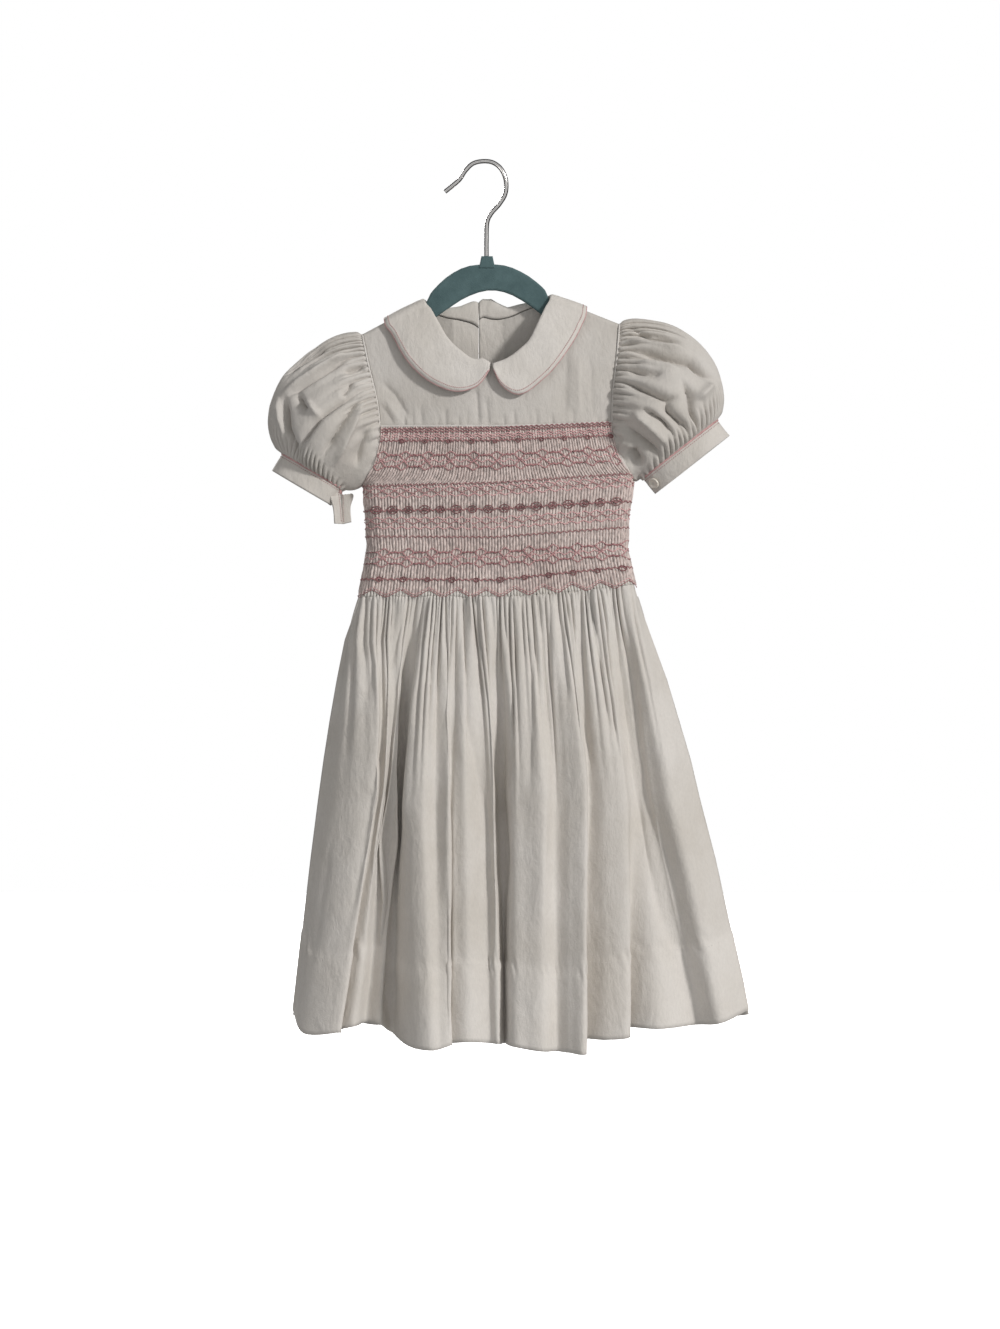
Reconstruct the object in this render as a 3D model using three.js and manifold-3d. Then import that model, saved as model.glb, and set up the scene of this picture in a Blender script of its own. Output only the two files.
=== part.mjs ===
// A child's smocked cotton dress, hanging on a flocked clothes hanger with a chrome wire hook.
// Millimetres. X runs to the right of the front, Y runs to the back and Z runs up.
// The origin is the inside top of the hook, where it hangs.
import * as THREE from "three";
import { mergeVertices } from "three/addons/utils/BufferGeometryUtils.js";
import Module from "manifold-3d";

// Driving dimensions
const CLOTH = 1.3; // wall of one layer of cloth, with its seams pressed
const BAND = 1.6; // wall of a doubled band or collar
const SEAM_GAP = 0.3; // between sewn pieces
const HANGER_THICK = 5;
const REST_GAP = 1; // cloth over hanger
const SHOULDER_R = HANGER_THICK / 2 + REST_GAP + CLOTH / 2; // fold of the cloth over the hanger
const SIDE_R = 11; // roundness of the side seams
const SHOULDERS = {
  left: { neckX: -51, neckZ: -112, slope: 0.535 },
  right: { neckX: 55, neckZ: -108.2, slope: 0.396 },
};
const YOKE_SEAM_Z = -211.5;
const WAIST_Z = -347;
const HEM_Z = -697;
const CLIMB = 10; // the smocking's rows and the waist end this much higher on the right
const OPENING_X = -5; // edge of the back opening
const RIBS = 92; // pleats drawn up by the smocking
const RIB_HEIGHT = 1.2;

// Where the two sides of the tube close, and how far the front and back stand off the hanger's plane.
// Above the underarm the tube would close inside the sleeves.
const BODY = [
  { z: -100, left: -124, right: 134, front: 19, back: 13 },
  { z: -205, left: -112, right: 126, front: 21, back: 14 },
  { z: -240, left: -101, right: 119.5, front: 21, back: 14 },
  { z: -258, left: -95.6, right: 117, front: 21, back: 14 },
  { z: -285, left: -94.2, right: 113.4, front: 20, back: 14 },
  { z: -309, left: -92.6, right: 112.4, front: 19, back: 13 },
  { z: -347, left: -99.6, right: 121.2, front: 20, back: 14 },
];

// Armhole seam as seen from the front, from the shoulder to the underarm.
const ARMHOLE = {
  left: [
    { x: -98, z: -138 },
    { x: -92.4, z: -161.6 },
    { x: -84.8, z: -195 },
    { x: -83.4, z: -218 },
    { x: -88, z: -240 },
    { x: -95.9, z: -256 },
  ],
  right: [
    { x: 107, z: -128.8 },
    { x: 104.4, z: -158 },
    { x: 101.2, z: -188 },
    { x: 101.6, z: -214 },
    { x: 107.5, z: -235 },
    { x: 117.2, z: -252 },
  ],
};

// Neck seam from the left shoulder round the front to the right one, and of each half of the back from the
// opening to the shoulder. stand is how far the collar stands up from the seam before it folds over.
const NECK = {
  front: [
    { x: -45.5, z: -119, stand: 1.5 },
    { x: -39, z: -131, stand: 1.5 },
    { x: -31.5, z: -143.5, stand: 1.5 },
    { x: -20.5, z: -154, stand: 1.5 },
    { x: -8, z: -161, stand: 1.5 },
    { x: 5, z: -164.5, stand: 1.5 },
    { x: 17.5, z: -160.5, stand: 1.5 },
    { x: 28, z: -153.5, stand: 1.5 },
    { x: 37, z: -145, stand: 1.5 },
    { x: 44, z: -131.5, stand: 1.5 },
    { x: 50.5, z: -117.5, stand: 1.5 },
  ],
  left: [
    { x: -5, z: -131, stand: 18 },
    { x: -10, z: -128, stand: 14 },
    { x: -20, z: -125, stand: 8.5 },
    { x: -32, z: -123, stand: 6 },
    { x: -42, z: -119, stand: 3 },
  ],
  right: [
    { x: -5, z: -124.5, stand: 13 },
    { x: 8, z: -124.4, stand: 14.5 },
    { x: 20, z: -122.5, stand: 6 },
    { x: 32, z: -117.5, stand: 4.5 },
    { x: 45, z: -112, stand: 3 },
  ],
};
const SHOULDER_STAND = 1.2;
const SHOULDER_PRESS = 0.62;
const NECK_GAP = 1.2; // from the neck's seam line to the collar

// Outer edge of each half of the collar, from the centre front over the shoulder (face 0) to the back opening.
const COLLAR_EDGE = {
  left: [
    { x: 3.4, z: -166.5, face: -1 },
    { x: -4, z: -177.5, face: -1 },
    { x: -20, z: -183.6, face: -1 },
    { x: -42.4, z: -176.4, face: -1 },
    { x: -61.6, z: -158.8, face: -1 },
    { x: -74, z: -137, face: -1 },
    { x: -80.5, z: 0, face: 0 },
    { x: -66, z: -152, face: 1 },
    { x: -40, z: -166, face: 1 },
    { x: -18, z: -167, face: 1 },
    { x: -6.5, z: -150, face: 1 },
  ],
  right: [
    { x: 7.4, z: -166.5, face: -1 },
    { x: 12.8, z: -178, face: -1 },
    { x: 25.6, z: -186, face: -1 },
    { x: 48, z: -172, face: -1 },
    { x: 66.4, z: -149.2, face: -1 },
    { x: 76, z: -132, face: -1 },
    { x: 81, z: 0, face: 0 },
    { x: 70, z: -148, face: 1 },
    { x: 44, z: -166, face: 1 },
    { x: 16, z: -168, face: 1 },
    { x: -3.5, z: -150, face: 1 },
  ],
};
// Rows of a collar: from the neck seam up its stand, over the fold and down the fall to the edge.
const COLLAR_ROWS = [
  { stand: 0, fall: 0, lift: 0 },
  { stand: 0.55, fall: 0, lift: 0.1 },
  { stand: 1, fall: 0, lift: 2.2 },
  { stand: 0.6, fall: 0.04, lift: 4.2 },
  { stand: 0, fall: 0.36, lift: 5.2 },
  { stand: 0, fall: 0.7, lift: 5.2 },
  { stand: 0, fall: 1, lift: 4.4 },
];

// Side seams of the skirt.
const SKIRT_SIDES = [
  { z: -337, left: -97, right: 118 },
  { z: -347, left: -99.6, right: 121.2 },
  { z: -381, left: -112, right: 133.6 },
  { z: -413, left: -118.4, right: 145.4 },
  { z: -445, left: -124, right: 155 },
  { z: -477, left: -129, right: 164.5 },
  { z: -509, left: -133.4, right: 172 },
  { z: -557, left: -139.5, right: 180.5 },
  { z: -605, left: -145, right: 190.4 },
  { z: -653, left: -150.4, right: 201.6 },
  { z: -680, left: -153.4, right: 211 },
];

// Folds of the skirt's front, from the left side seam to the right one. waist is the share of the way
// round the waist; the rest are places half way down and at the hem: x, and how far out the cloth stands.
const FRONT_FOLDS = [
  { waist: 0, midX: -133, midOut: 0, hemX: -153, hemOut: 0, hemZ: -677 },
  { waist: 0.035, midX: -116, midOut: 18, hemX: -143, hemOut: 20, hemZ: -694 },
  { waist: 0.08, midX: -87, midOut: 32, hemX: -116, hemOut: 35, hemZ: -692 },
  { waist: 0.115, midX: -85, midOut: 21, hemX: -118, hemOut: 19, hemZ: -692 },
  { waist: 0.145, midX: -80, midOut: 24, hemX: -104, hemOut: 24, hemZ: -688 },
  { waist: 0.175, midX: -76, midOut: 17, hemX: -95, hemOut: 6, hemZ: -686 },
  { waist: 0.2, midX: -73, midOut: 20, hemX: -83, hemOut: 13, hemZ: -688 },
  { waist: 0.225, midX: -70, midOut: 8, hemX: -73, hemOut: 4, hemZ: -696 },
  { waist: 0.255, midX: -63, midOut: 28, hemX: -59, hemOut: 34, hemZ: -703 },
  { waist: 0.285, midX: -50, midOut: 36, hemX: -44, hemOut: 46, hemZ: -705 },
  { waist: 0.31, midX: -39, midOut: 29, hemX: -35, hemOut: 44, hemZ: -704 },
  { waist: 0.335, midX: -29, midOut: 36, hemX: -27, hemOut: 42, hemZ: -701 },
  { waist: 0.36, midX: -27, midOut: 28, hemX: -28, hemOut: 30, hemZ: -701 },
  { waist: 0.385, midX: -15, midOut: 34, hemX: -13, hemOut: 35, hemZ: -699.5 },
  { waist: 0.41, midX: -1, midOut: 24, hemX: 3, hemOut: 26, hemZ: -701 },
  { waist: 0.45, midX: 8, midOut: 28, hemX: 11, hemOut: 30, hemZ: -701.5 },
  { waist: 0.495, midX: 14, midOut: 6, hemX: 16, hemOut: 4, hemZ: -702 },
  { waist: 0.525, midX: 21, midOut: 30, hemX: 22, hemOut: 37, hemZ: -702.5 },
  { waist: 0.565, midX: 32, midOut: 35, hemX: 34, hemOut: 42, hemZ: -704.5 },
  { waist: 0.61, midX: 46, midOut: 38, hemX: 46, hemOut: 44, hemZ: -706 },
  { waist: 0.655, midX: 56, midOut: 28, hemX: 57, hemOut: 36, hemZ: -706.5 },
  { waist: 0.695, midX: 68, midOut: 34, hemX: 68, hemOut: 44, hemZ: -707 },
  { waist: 0.73, midX: 81, midOut: 38, hemX: 79, hemOut: 49, hemZ: -707.5 },
  { waist: 0.765, midX: 83, midOut: 22, hemX: 75, hemOut: 18, hemZ: -699 },
  { waist: 0.8, midX: 97, midOut: 28, hemX: 97, hemOut: 26, hemZ: -698.5 },
  { waist: 0.84, midX: 114, midOut: 28, hemX: 114, hemOut: 27, hemZ: -696.5 },
  { waist: 0.87, midX: 120, midOut: 15, hemX: 111, hemOut: 9, hemZ: -690 },
  { waist: 0.895, midX: 127, midOut: 8, hemX: 139, hemOut: 21, hemZ: -690.5 },
  { waist: 0.92, midX: 134, midOut: 8, hemX: 169, hemOut: 4, hemZ: -688.5 },
  { waist: 0.96, midX: 149, midOut: 20, hemX: 188, hemOut: 18, hemZ: -686 },
  { waist: 1, midX: 172, midOut: 0, hemX: 211, hemOut: 0, hemZ: -677 },
];
const MID_SHARE = 0.47; // how far down the skirt the middle columns of the table lie
const SKIRT_ROWS = [0.035, 0.1, 0.2, 0.33, MID_SHARE, 0.74, 1];
const PER_FOLD = 3; // columns of cloth to a fold or gather
const GATHER_DEPTH = 2.2; // of the pleats that the smocking lets go, at the waist
const BACK = { gathers: 24, folds: 8, hemOut: 27, foldDepth: 11 };

// Puffed sleeves. seam and out are the pull of the cloth where it leaves the armhole and where it comes
// into the cuff, at the top, the front, the underarm and the back. A cuff's ring lies along run and rise.
const SLEEVES = {
  left: {
    outward: -1,
    cuff: { x: -138.4, z: -246, half: 27, deep: 16, run: 0.863, rise: -0.506 },
    seam: [
      { x: -43, y: 0, z: 0 },
      { x: -20, y: -30, z: -6 },
      { x: -6, y: 0, z: -7 },
      { x: -20, y: 22, z: -6 },
    ],
    out: [
      { x: -35, y: 0, z: 44 },
      { x: -9, y: -26, z: 24 },
      { x: 5, y: 0, z: -2 },
      { x: -9, y: 20, z: 24 },
    ],
  },
  right: {
    outward: 1,
    cuff: { x: 156, z: -228.5, half: 37, deep: 19, run: -0.787, rise: -0.617 },
    seam: [
      { x: 42, y: 0, z: 13 },
      { x: 20, y: -32, z: -4 },
      { x: 4, y: 0, z: -6 },
      { x: 20, y: 22, z: -4 },
    ],
    out: [
      { x: 20, y: 0, z: 54 },
      { x: 4, y: -28, z: 30 },
      { x: -5, y: 0, z: 0 },
      { x: 4, y: 20, z: 30 },
    ],
  },
};
const SLEEVE_COLS = 36;
const SLEEVE_ROWS = [0, 0.05, 0.14, 0.27, 0.42, 0.57, 0.71, 0.84, 0.94, 1];
const PUFF_DEPTH = 1.5; // of the gathers at either end of a sleeve
const ARM_GAP = 1.7; // from the armhole's seam line to the sleeve's cloth
const CUFF_GAP = 0.8; // from the cuff's seam line to the sleeve's cloth
const CUFF_WIDTH = 16;
const CUFF_TAIL = 22; // length of the loose ends of the left cuff

const BUTTON = { cuffR: 4.6, backR: 5.2, thick: 2, rim: 0.5 };
const BACK_BUTTONS = [-135, -200, -268]; // heights down the back opening
const OPENING_STRIP = 20; // width of the doubled strip that the back's buttons are on

const HANGER_TIPS = { left: -160, right: 163 };
const ARM_HEIGHT = { neck: 18, tip: 12 };
// The arch between the arms, which rises from a notch on each side.
const ARCH = [
  { x: -48.8, top: -114.6, bottom: -130.5 },
  { x: -45.4, top: -108, bottom: -127.8 },
  { x: -42, top: -102, bottom: -125 },
  { x: -30, top: -90.5, bottom: -116.5 },
  { x: -15, top: -82.6, bottom: -107 },
  { x: 2, top: -80.8, bottom: -101.6 },
  { x: 18, top: -82.2, bottom: -103.8 },
  { x: 34, top: -89.6, bottom: -112.5 },
  { x: 46.5, top: -99.6, bottom: -122 },
  { x: 49.4, top: -104.4, bottom: -124.6 },
  { x: 52.5, top: -111.5, bottom: -127 },
];
const BOSS = { x: 1.6, width: 9, foot: 13, top: -74.4, bottom: -84 };
const HOOK = [
  { x: 1.2, z: -62 },
  { x: 2, z: -46 },
  { x: 5, z: -40 },
  { x: 11.5, z: -32.5 },
  { x: 16.3, z: -24 },
  { x: 16.6, z: -13 },
  { x: 12.6, z: -4 },
  { x: 6.2, z: 0.8 },
  { x: -1.5, z: 1.8 },
  { x: -9.5, z: 0 },
  { x: -15.4, z: -5.4 },
  { x: -20.6, z: -13 },
  { x: -26, z: -17.8 },
  { x: -32, z: -22.6 },
];
const WIRE_R = 1.8;

// Small calculations
const clamp01 = (t) => Math.min(1, Math.max(0, t));
const lerp = (a, b, t) => a + (b - a) * t;
const ease = (t) => clamp01(t) ** 2 * (3 - 2 * clamp01(t));
const steps = (count) => Array.from({ length: count + 1 }, (_, i) => i / count);
const vec = (x, y, z) => new THREE.Vector3(x, y, z);
const first = (rows) => rows[0];
const last = (rows) => rows[rows.length - 1];

/** Reads a column of a table whose rows run down by another column, with straight lines between rows. */
function column(rows, by, wanted, at) {
  const next = rows.findIndex((row) => row[by] <= at);
  if (next === 0) return first(rows)[wanted];
  if (next < 0) return last(rows)[wanted];
  const [a, b] = [rows[next - 1], rows[next]];
  return lerp(a[wanted], b[wanted], (at - a[by]) / (b[by] - a[by]));
}

/** A smooth curve through points, as a function of the share of its length. */
function through(points) {
  const curve = new THREE.CatmullRomCurve3(points, false, "centripetal");
  return (share) => curve.getPointAt(clamp01(share));
}

/** The share at which a rising test of a curve's point turns true. */
function shareWhere(curve, test) {
  let [low, high] = [0, 1];
  for (let i = 0; i < 30; i++) {
    const middle = (low + high) / 2;
    if (test(curve(middle))) high = middle;
    else low = middle;
  }
  return high;
}

/** count + 1 points along a path, evenly spaced along its length. */
function evenly(path, count) {
  const samples = 400;
  const line = steps(samples).map(path);
  const run = [0];
  for (let i = 1; i <= samples; i++) run.push(run[i - 1] + line[i].distanceTo(line[i - 1]));
  let from = 0;
  return steps(count).map((share) => {
    const wanted = run[samples] * share;
    while (from < samples - 1 && run[from + 1] < wanted) from++;
    const part = (wanted - run[from]) / (run[from + 1] - run[from]);
    return line[from].clone().lerp(line[from + 1], clamp01(part));
  });
}

// The body of the dress: one tube over the hanger, unrolled as x and the distance q from the shoulder fold

/** Height of the shoulder fold above x. */
function ridge(x) {
  const { left, right } = SHOULDERS;
  return Math.min(left.neckZ + (x - left.neckX) * left.slope, right.neckZ - (x - right.neckX) * right.slope);
}

/** How far the front (face -1) or back (face 1) stands off the middle plane at x and height z. */
function standOff(x, z, face) {
  const left = column(BODY, "z", "left", z);
  const right = column(BODY, "z", "right", z);
  const full = column(BODY, "z", face < 0 ? "front" : "back", z);
  const edge = clamp01(Math.min(x - left, right - x) / SIDE_R);
  const rim = SIDE_R * Math.sqrt(1 - (1 - edge) ** 2);
  const middle = (x - (left + right) / 2) / ((right - left) / 2);
  const belly = (full - SIDE_R) * Math.max(0, 1 - middle ** 2);
  const below = Math.max(0, ridge(x) - SHOULDER_R - z);
  const fill = 1 - Math.exp(-below / 40);
  return lerp(Math.min(SHOULDER_R, rim), rim + belly, fill);
}

/** A point of the body at height z, lifted off it by lift. */
function onBody(x, z, face, lift = 0) {
  return vec(x, face * Math.max(SEAM_GAP / 2, standOff(x, z, face) + lift), z);
}

/** A point at a distance q from the shoulder fold: q < 0 down the front, q > 0 down the back. */
function onCloth(x, q, lift = 0) {
  const face = Math.sign(q) || 1;
  const turn = Math.abs(q) / SHOULDER_R;
  if (turn < Math.PI / 2) {
    const r = SHOULDER_R + lift;
    return vec(x, face * r * Math.sin(turn), ridge(x) - SHOULDER_R + r * Math.cos(turn));
  }
  return onBody(x, ridge(x) - SHOULDER_R * (1 - Math.PI / 2) - Math.abs(q), face, lift);
}

/** The distance q from the shoulder fold of a height z, on the front (face -1), the fold (0) or the back (1). */
function qAt(x, z, face) {
  return face * Math.max(SEAM_GAP / 2, ridge(x) - SHOULDER_R * (1 - Math.PI / 2) - z);
}

/** A table's row as an unrolled place: x, and q as its second number. */
const unrolled = ({ x, z, face }) => vec(x, qAt(x, z, face), 0);

// Cloth as closed solids

/** The point of a row of cloth at a share of the way along it. */
function alongRow(row, at) {
  const next = row.findIndex((p) => p.at >= at - 1e-9);
  if (next <= 0) return row[Math.max(0, next)];
  const [a, b] = [row[next - 1], row[next]];
  return a.clone().lerp(b, (at - a.at) / (b.at - a.at));
}

/**
 * Outward unit normals of rows of points that run left to right, from top to bottom, as seen from outside.
 * On the middle plane the normal has no y, and at a level rim no z, so that two sewn rims face each other.
 */
function normalsOf(rows, closed, level = {}) {
  const low = rows.length - 1;
  return rows.map((row, j) =>
    row.map((p, i) => {
      const end = row.length - 1;
      const before = closed ? (i + end) % (end + 1) : Math.max(0, i - 1);
      const after = closed ? (i + 1) % (end + 1) : Math.min(end, i + 1);
      const across = row[after].clone().sub(row[before]);
      const [above, below] = [rows[Math.max(0, j - 1)], rows[Math.min(low, j + 1)]];
      const normal = alongRow(below, p.at).clone().sub(alongRow(above, p.at)).cross(across);
      if ((level.top && j === 0) || (level.bottom && j === low)) normal.z = 0;
      if (Math.abs(p.y) < SEAM_GAP) normal.y = 0;
      return normal.normalize();
    }),
  );
}

/**
 * A wall of cloth over rows of points. relief adds height to the outer points. innerStep says which of a
 * row's points the inner face keeps: every one, every so many, or with 0 none of the row.
 */
function wall(rows, options = {}) {
  const { thick = CLOTH, closed = false, level, relief = () => 0, innerStep = () => 1 } = options;
  rows.forEach((row) => row.forEach((p, i) => (p.at ??= i / (closed ? row.length : row.length - 1))));
  const normals = normalsOf(rows, closed, level);
  const positions = [];
  const index = [];
  const layer = (step, offset) =>
    rows.flatMap((row, j) => {
      if (!step(j)) return [];
      const kept = row.flatMap((p, i) => {
        if (i % step(j)) return [];
        const moved = p.clone().addScaledVector(normals[j][i], offset(i, j));
        positions.push(moved.x, moved.y, moved.z);
        return [{ id: positions.length / 3 - 1, at: p.at, down: j }];
      });
      if (closed) kept.push({ ...kept[0], at: 1 });
      return [kept];
    });
  // Joins two lines of points, which may have different numbers of them, by a strip of triangles.
  const strip = (a, b, key, flip) => {
    let [i, k] = [0, 0];
    while (i + 1 < a.length || k + 1 < b.length) {
      const stepA = k + 1 >= b.length || (i + 1 < a.length && a[i + 1][key] <= b[k + 1][key]);
      const triangle = [a[i].id, stepA ? a[i + 1].id : b[k + 1].id, b[k].id];
      index.push(...(flip ? triangle : triangle.reverse()));
      if (stepA) i++;
      else k++;
    }
  };
  const outer = layer(() => 1, (i, j) => thick / 2 + relief(i, j));
  const inner = layer(innerStep, () => -thick / 2);
  for (let j = 0; j + 1 < outer.length; j++) strip(outer[j], outer[j + 1], "at", false);
  for (let j = 0; j + 1 < inner.length; j++) strip(inner[j], inner[j + 1], "at", true);
  strip(first(outer), first(inner), "at", true);
  strip(last(outer), last(inner), "at", false);
  if (!closed) {
    strip(outer.map(first), inner.map(first), "down", false);
    strip(outer.map(last), inner.map(last), "down", true);
  }
  const geometry = new THREE.BufferGeometry();
  geometry.setAttribute("position", new THREE.Float32BufferAttribute(positions, 3));
  geometry.setIndex(index);
  geometry.computeVertexNormals();
  return geometry;
}

/** Fills a patch between four edges, each a function of a share that gives an unrolled place. */
function patch({ top, bottom, left, right }, cols, rows) {
  return rows.map((v) =>
    steps(cols).map((u) => {
      const sides = left(v).clone().lerp(right(v), u);
      const ends = top(u).clone().lerp(bottom(u), v);
      const corners = top(0).clone().lerp(top(1), u).lerp(bottom(0).clone().lerp(bottom(1), u), v);
      const place = sides.add(ends).sub(corners);
      return onCloth(place.x, place.y);
    }),
  );
}

// Seams of the body

/** The front half of each armhole as unrolled places; the back half mirrors it. */
const armholes = Object.fromEntries(
  Object.entries(ARMHOLE).map(([side, rows]) => [
    side,
    through([vec(first(rows).x, 0, 0), ...rows.slice(1).map((row) => unrolled({ ...row, face: -1 }))]),
  ]),
);

/** How much the seams across the front have climbed at x. */
const climb = (x) => CLIMB * clamp01((x - 12) / 105) ** 1.6;
const yokeSeam = (x) => YOKE_SEAM_Z + 0.45 * climb(x);
const waistSeam = (x) => WAIST_Z + climb(x);

/** The share of an armhole's length at which it comes down to height z. */
const armholeShare = (side, z) => shareWhere(armholes[side], (p) => onCloth(p.x, p.y).z <= z);

/** An armhole edge from the shoulder to one of its shares, on the front (face -1) or the back (face 1). */
function armholeEdge(side, to, face) {
  return (v) => {
    const p = armholes[side](to * v);
    return vec(p.x, face * Math.max(SEAM_GAP / 2, -p.y), 0);
  };
}

/** Left and right edges of the front or back at height z: the armhole, or the side seam below it. */
function edgesAt(z) {
  return ["left", "right"].map((side) => {
    const underarm = last(ARMHOLE[side]).z;
    return z > underarm ? armholes[side](armholeShare(side, z)).x : column(BODY, "z", side, z);
  });
}

/** The neck seam: places of the front from shoulder to shoulder, or of one half of the back. */
const neckPlaces = {
  front: [
    vec(SHOULDERS.left.neckX, -SEAM_GAP / 2, 0),
    ...NECK.front.map((row) => unrolled({ ...row, face: -1 })),
    vec(SHOULDERS.right.neckX, -SEAM_GAP / 2, 0),
  ],
  left: [...NECK.left.map((row) => unrolled({ ...row, face: 1 })), vec(SHOULDERS.left.neckX, SEAM_GAP / 2, 0)],
  right: [...NECK.right.map((row) => unrolled({ ...row, face: 1 })), vec(SHOULDERS.right.neckX, SEAM_GAP / 2, 0)],
};

// Pieces of the front

/** Three edges in a row as one, each taking its share of the way. */
function inTurn(edges, shares) {
  return (u) => {
    let start = 0;
    for (let i = 0; i < edges.length - 1; i++) {
      if (u <= start + shares[i]) return edges[i]((u - start) / shares[i]);
      start += shares[i];
    }
    return last(edges)((u - start) / last(shares));
  };
}

function frontYoke() {
  const shoulder = { left: first(ARMHOLE.left).x, right: first(ARMHOLE.right).x };
  const top = inTurn(
    [
      (t) => vec(lerp(shoulder.left, SHOULDERS.left.neckX, t), -SEAM_GAP / 2, 0),
      through(neckPlaces.front),
      (t) => vec(lerp(SHOULDERS.right.neckX, shoulder.right, t), -SEAM_GAP / 2, 0),
    ],
    [0.2, 0.6, 0.2],
  );
  const edge = (side) => {
    const x = armholes[side](armholeShare(side, YOKE_SEAM_Z)).x;
    return armholeEdge(side, armholeShare(side, yokeSeam(x) + SEAM_GAP), -1);
  };
  const [left, right] = [edge("left"), edge("right")];
  const bottom = (u) => {
    const x = lerp(left(1).x, right(1).x, u);
    return vec(x, qAt(x, yokeSeam(x) + SEAM_GAP, -1), 0);
  };
  const rows = [0, 0.03, 0.06, 0.1, 0.25, 0.5, 0.75, 1]; // close together over the shoulder fold
  return wall(patch({ top, bottom, left, right }, 30, rows), { level: { bottom: true } });
}

/** Evenly spaced points across the front of the body, at a share v of the way from yoke to waist. */
function acrossFront(v, count) {
  const height = (x) => lerp(yokeSeam(x), waistSeam(x), v);
  const [left, right] = [edgesAt(height(-90))[0], edgesAt(height(110))[1]];
  return evenly((t) => {
    const x = lerp(left, right, 0.5 - Math.cos(Math.PI * t) / 2);
    return onBody(x, height(x), -1);
  }, count);
}

/** A smooth value at the waist, half way down and at the hem. */
function downSkirt(waist, mid, hem, v) {
  if (v < MID_SHARE) return lerp(waist, mid, Math.sin(((v / MID_SHARE) * Math.PI) / 2) ** 1.1);
  return lerp(mid, hem, (v - MID_SHARE) / (1 - MID_SHARE));
}

/** Height of the back's hem above x. */
const backHem = (x) => HEM_Z + (x > 25 ? 16 : 17) * ((x - 25) / 185) ** 2;

/** Moves the knots of a row of the skirt, most of all the outer ones, so that its ends lie on the side seams. */
function toSides(knots) {
  const [left, right] = ["left", "right"].map((side) => {
    const end = (knots[0].x < last(knots).x) === (side === "left") ? first(knots) : last(knots);
    return { end, error: column(SKIRT_SIDES, "z", side, end.z) - end.x };
  });
  const middle = (left.end.x + right.end.x) / 2;
  const half = (right.end.x - left.end.x) / 2;
  knots.forEach((p) => {
    const out = (p.x - middle) / half;
    p.x += out ** 2 * (out < 0 ? left : right).error;
  });
  return knots;
}

/** A row of the skirt through its folds, with the waist's gathers on top of them. */
function skirtRow(knots, v, face) {
  const curve = new THREE.CatmullRomCurve3(toSides(knots), false, "catmullrom", 0.5);
  const folds = knots.length - 1;
  return steps(folds * PER_FOLD).map((share) => {
    const at = share * folds;
    const p = curve.getPoint(share);
    const ripple = GATHER_DEPTH * Math.cos(2 * Math.PI * at) * (1 - ease(v / 0.55));
    p.y -= face * ripple * Math.min(1, at, folds - at);
    p.y = face * Math.max(SEAM_GAP / 2, face * p.y);
    const knot = Math.min(folds - 1, Math.floor(at));
    p.at = lerp(knots[knot].share, knots[knot + 1].share, at - knot);
    return p;
  });
}

/** The smocked front and the skirt that it lets go, which are one cloth. */
function frontPanel() {
  const smocked = [0, 0.12, 0.24, 0.36, 0.5, 0.66, 0.83, 1];
  const rows = smocked.map((v) => acrossFront(v, RIBS * 2));
  first(rows).forEach((p) => (p.z -= SEAM_GAP));
  const waist = acrossFront(1, 400);
  const skirt = SKIRT_ROWS.map((v) => {
    const knots = FRONT_FOLDS.map((fold) => {
      const start = waist[Math.round(fold.waist * 400)];
      const x = downSkirt(start.x, fold.midX, fold.hemX, v);
      const out = downSkirt(-start.y, fold.midOut, fold.hemOut, v);
      return Object.assign(vec(x, -out, lerp(start.z, fold.hemZ, v)), { share: fold.waist });
    });
    return skirtRow(knots, v, -1);
  });
  return wall([...rows, ...skirt], {
    // A stitched row pinches the pleats flatter, and between rows they stand up.
    relief: (i, j) => (j < rows.length && i % 2 ? RIB_HEIGHT * (j % 2 ? 1 : 0.65) : 0),
    innerStep: (j) => (j >= rows.length ? 1 : j % 3 && j < rows.length - 1 ? 0 : 8),
    level: { top: true, bottom: true },
  });
}

// Pieces of the back

function skirtBack() {
  const { gathers, folds, hemOut, foldDepth } = BACK;
  const [waistLeft, waistRight] = edgesAt(WAIST_Z);
  const side = (fold, waist, v) => downSkirt(waist, fold.midX, fold.hemX, v);
  const rows = [0, ...SKIRT_ROWS].map((v) => {
    const [right, left] = [side(last(FRONT_FOLDS), waistRight, v), side(first(FRONT_FOLDS), waistLeft, v)];
    const knots = steps(gathers).map((share) => {
      const across = lerp(0.5 - Math.cos(Math.PI * share) / 2, share, ease(v / 0.3));
      const wander = 0.012 * Math.sin(share * 21) * ease(v) * Math.sin(Math.PI * share);
      const x = lerp(right, left, across + wander);
      const waistOut = standOff(lerp(waistRight, waistLeft, across), WAIST_Z, 1);
      const round = Math.min(1, 5 * share, 5 * (1 - share)) ** 0.5;
      const fold = foldDepth * Math.cos(2 * Math.PI * (folds * share + 0.2 * Math.sin(share * 13)));
      const z = lerp(WAIST_Z - SEAM_GAP, backHem(x), v);
      return Object.assign(vec(x, lerp(waistOut, round * (hemOut + fold), ease(v / 0.9)), z), { share });
    });
    return skirtRow(knots, v, 1);
  });
  return wall(rows, { level: { top: true, bottom: true } });
}

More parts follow.
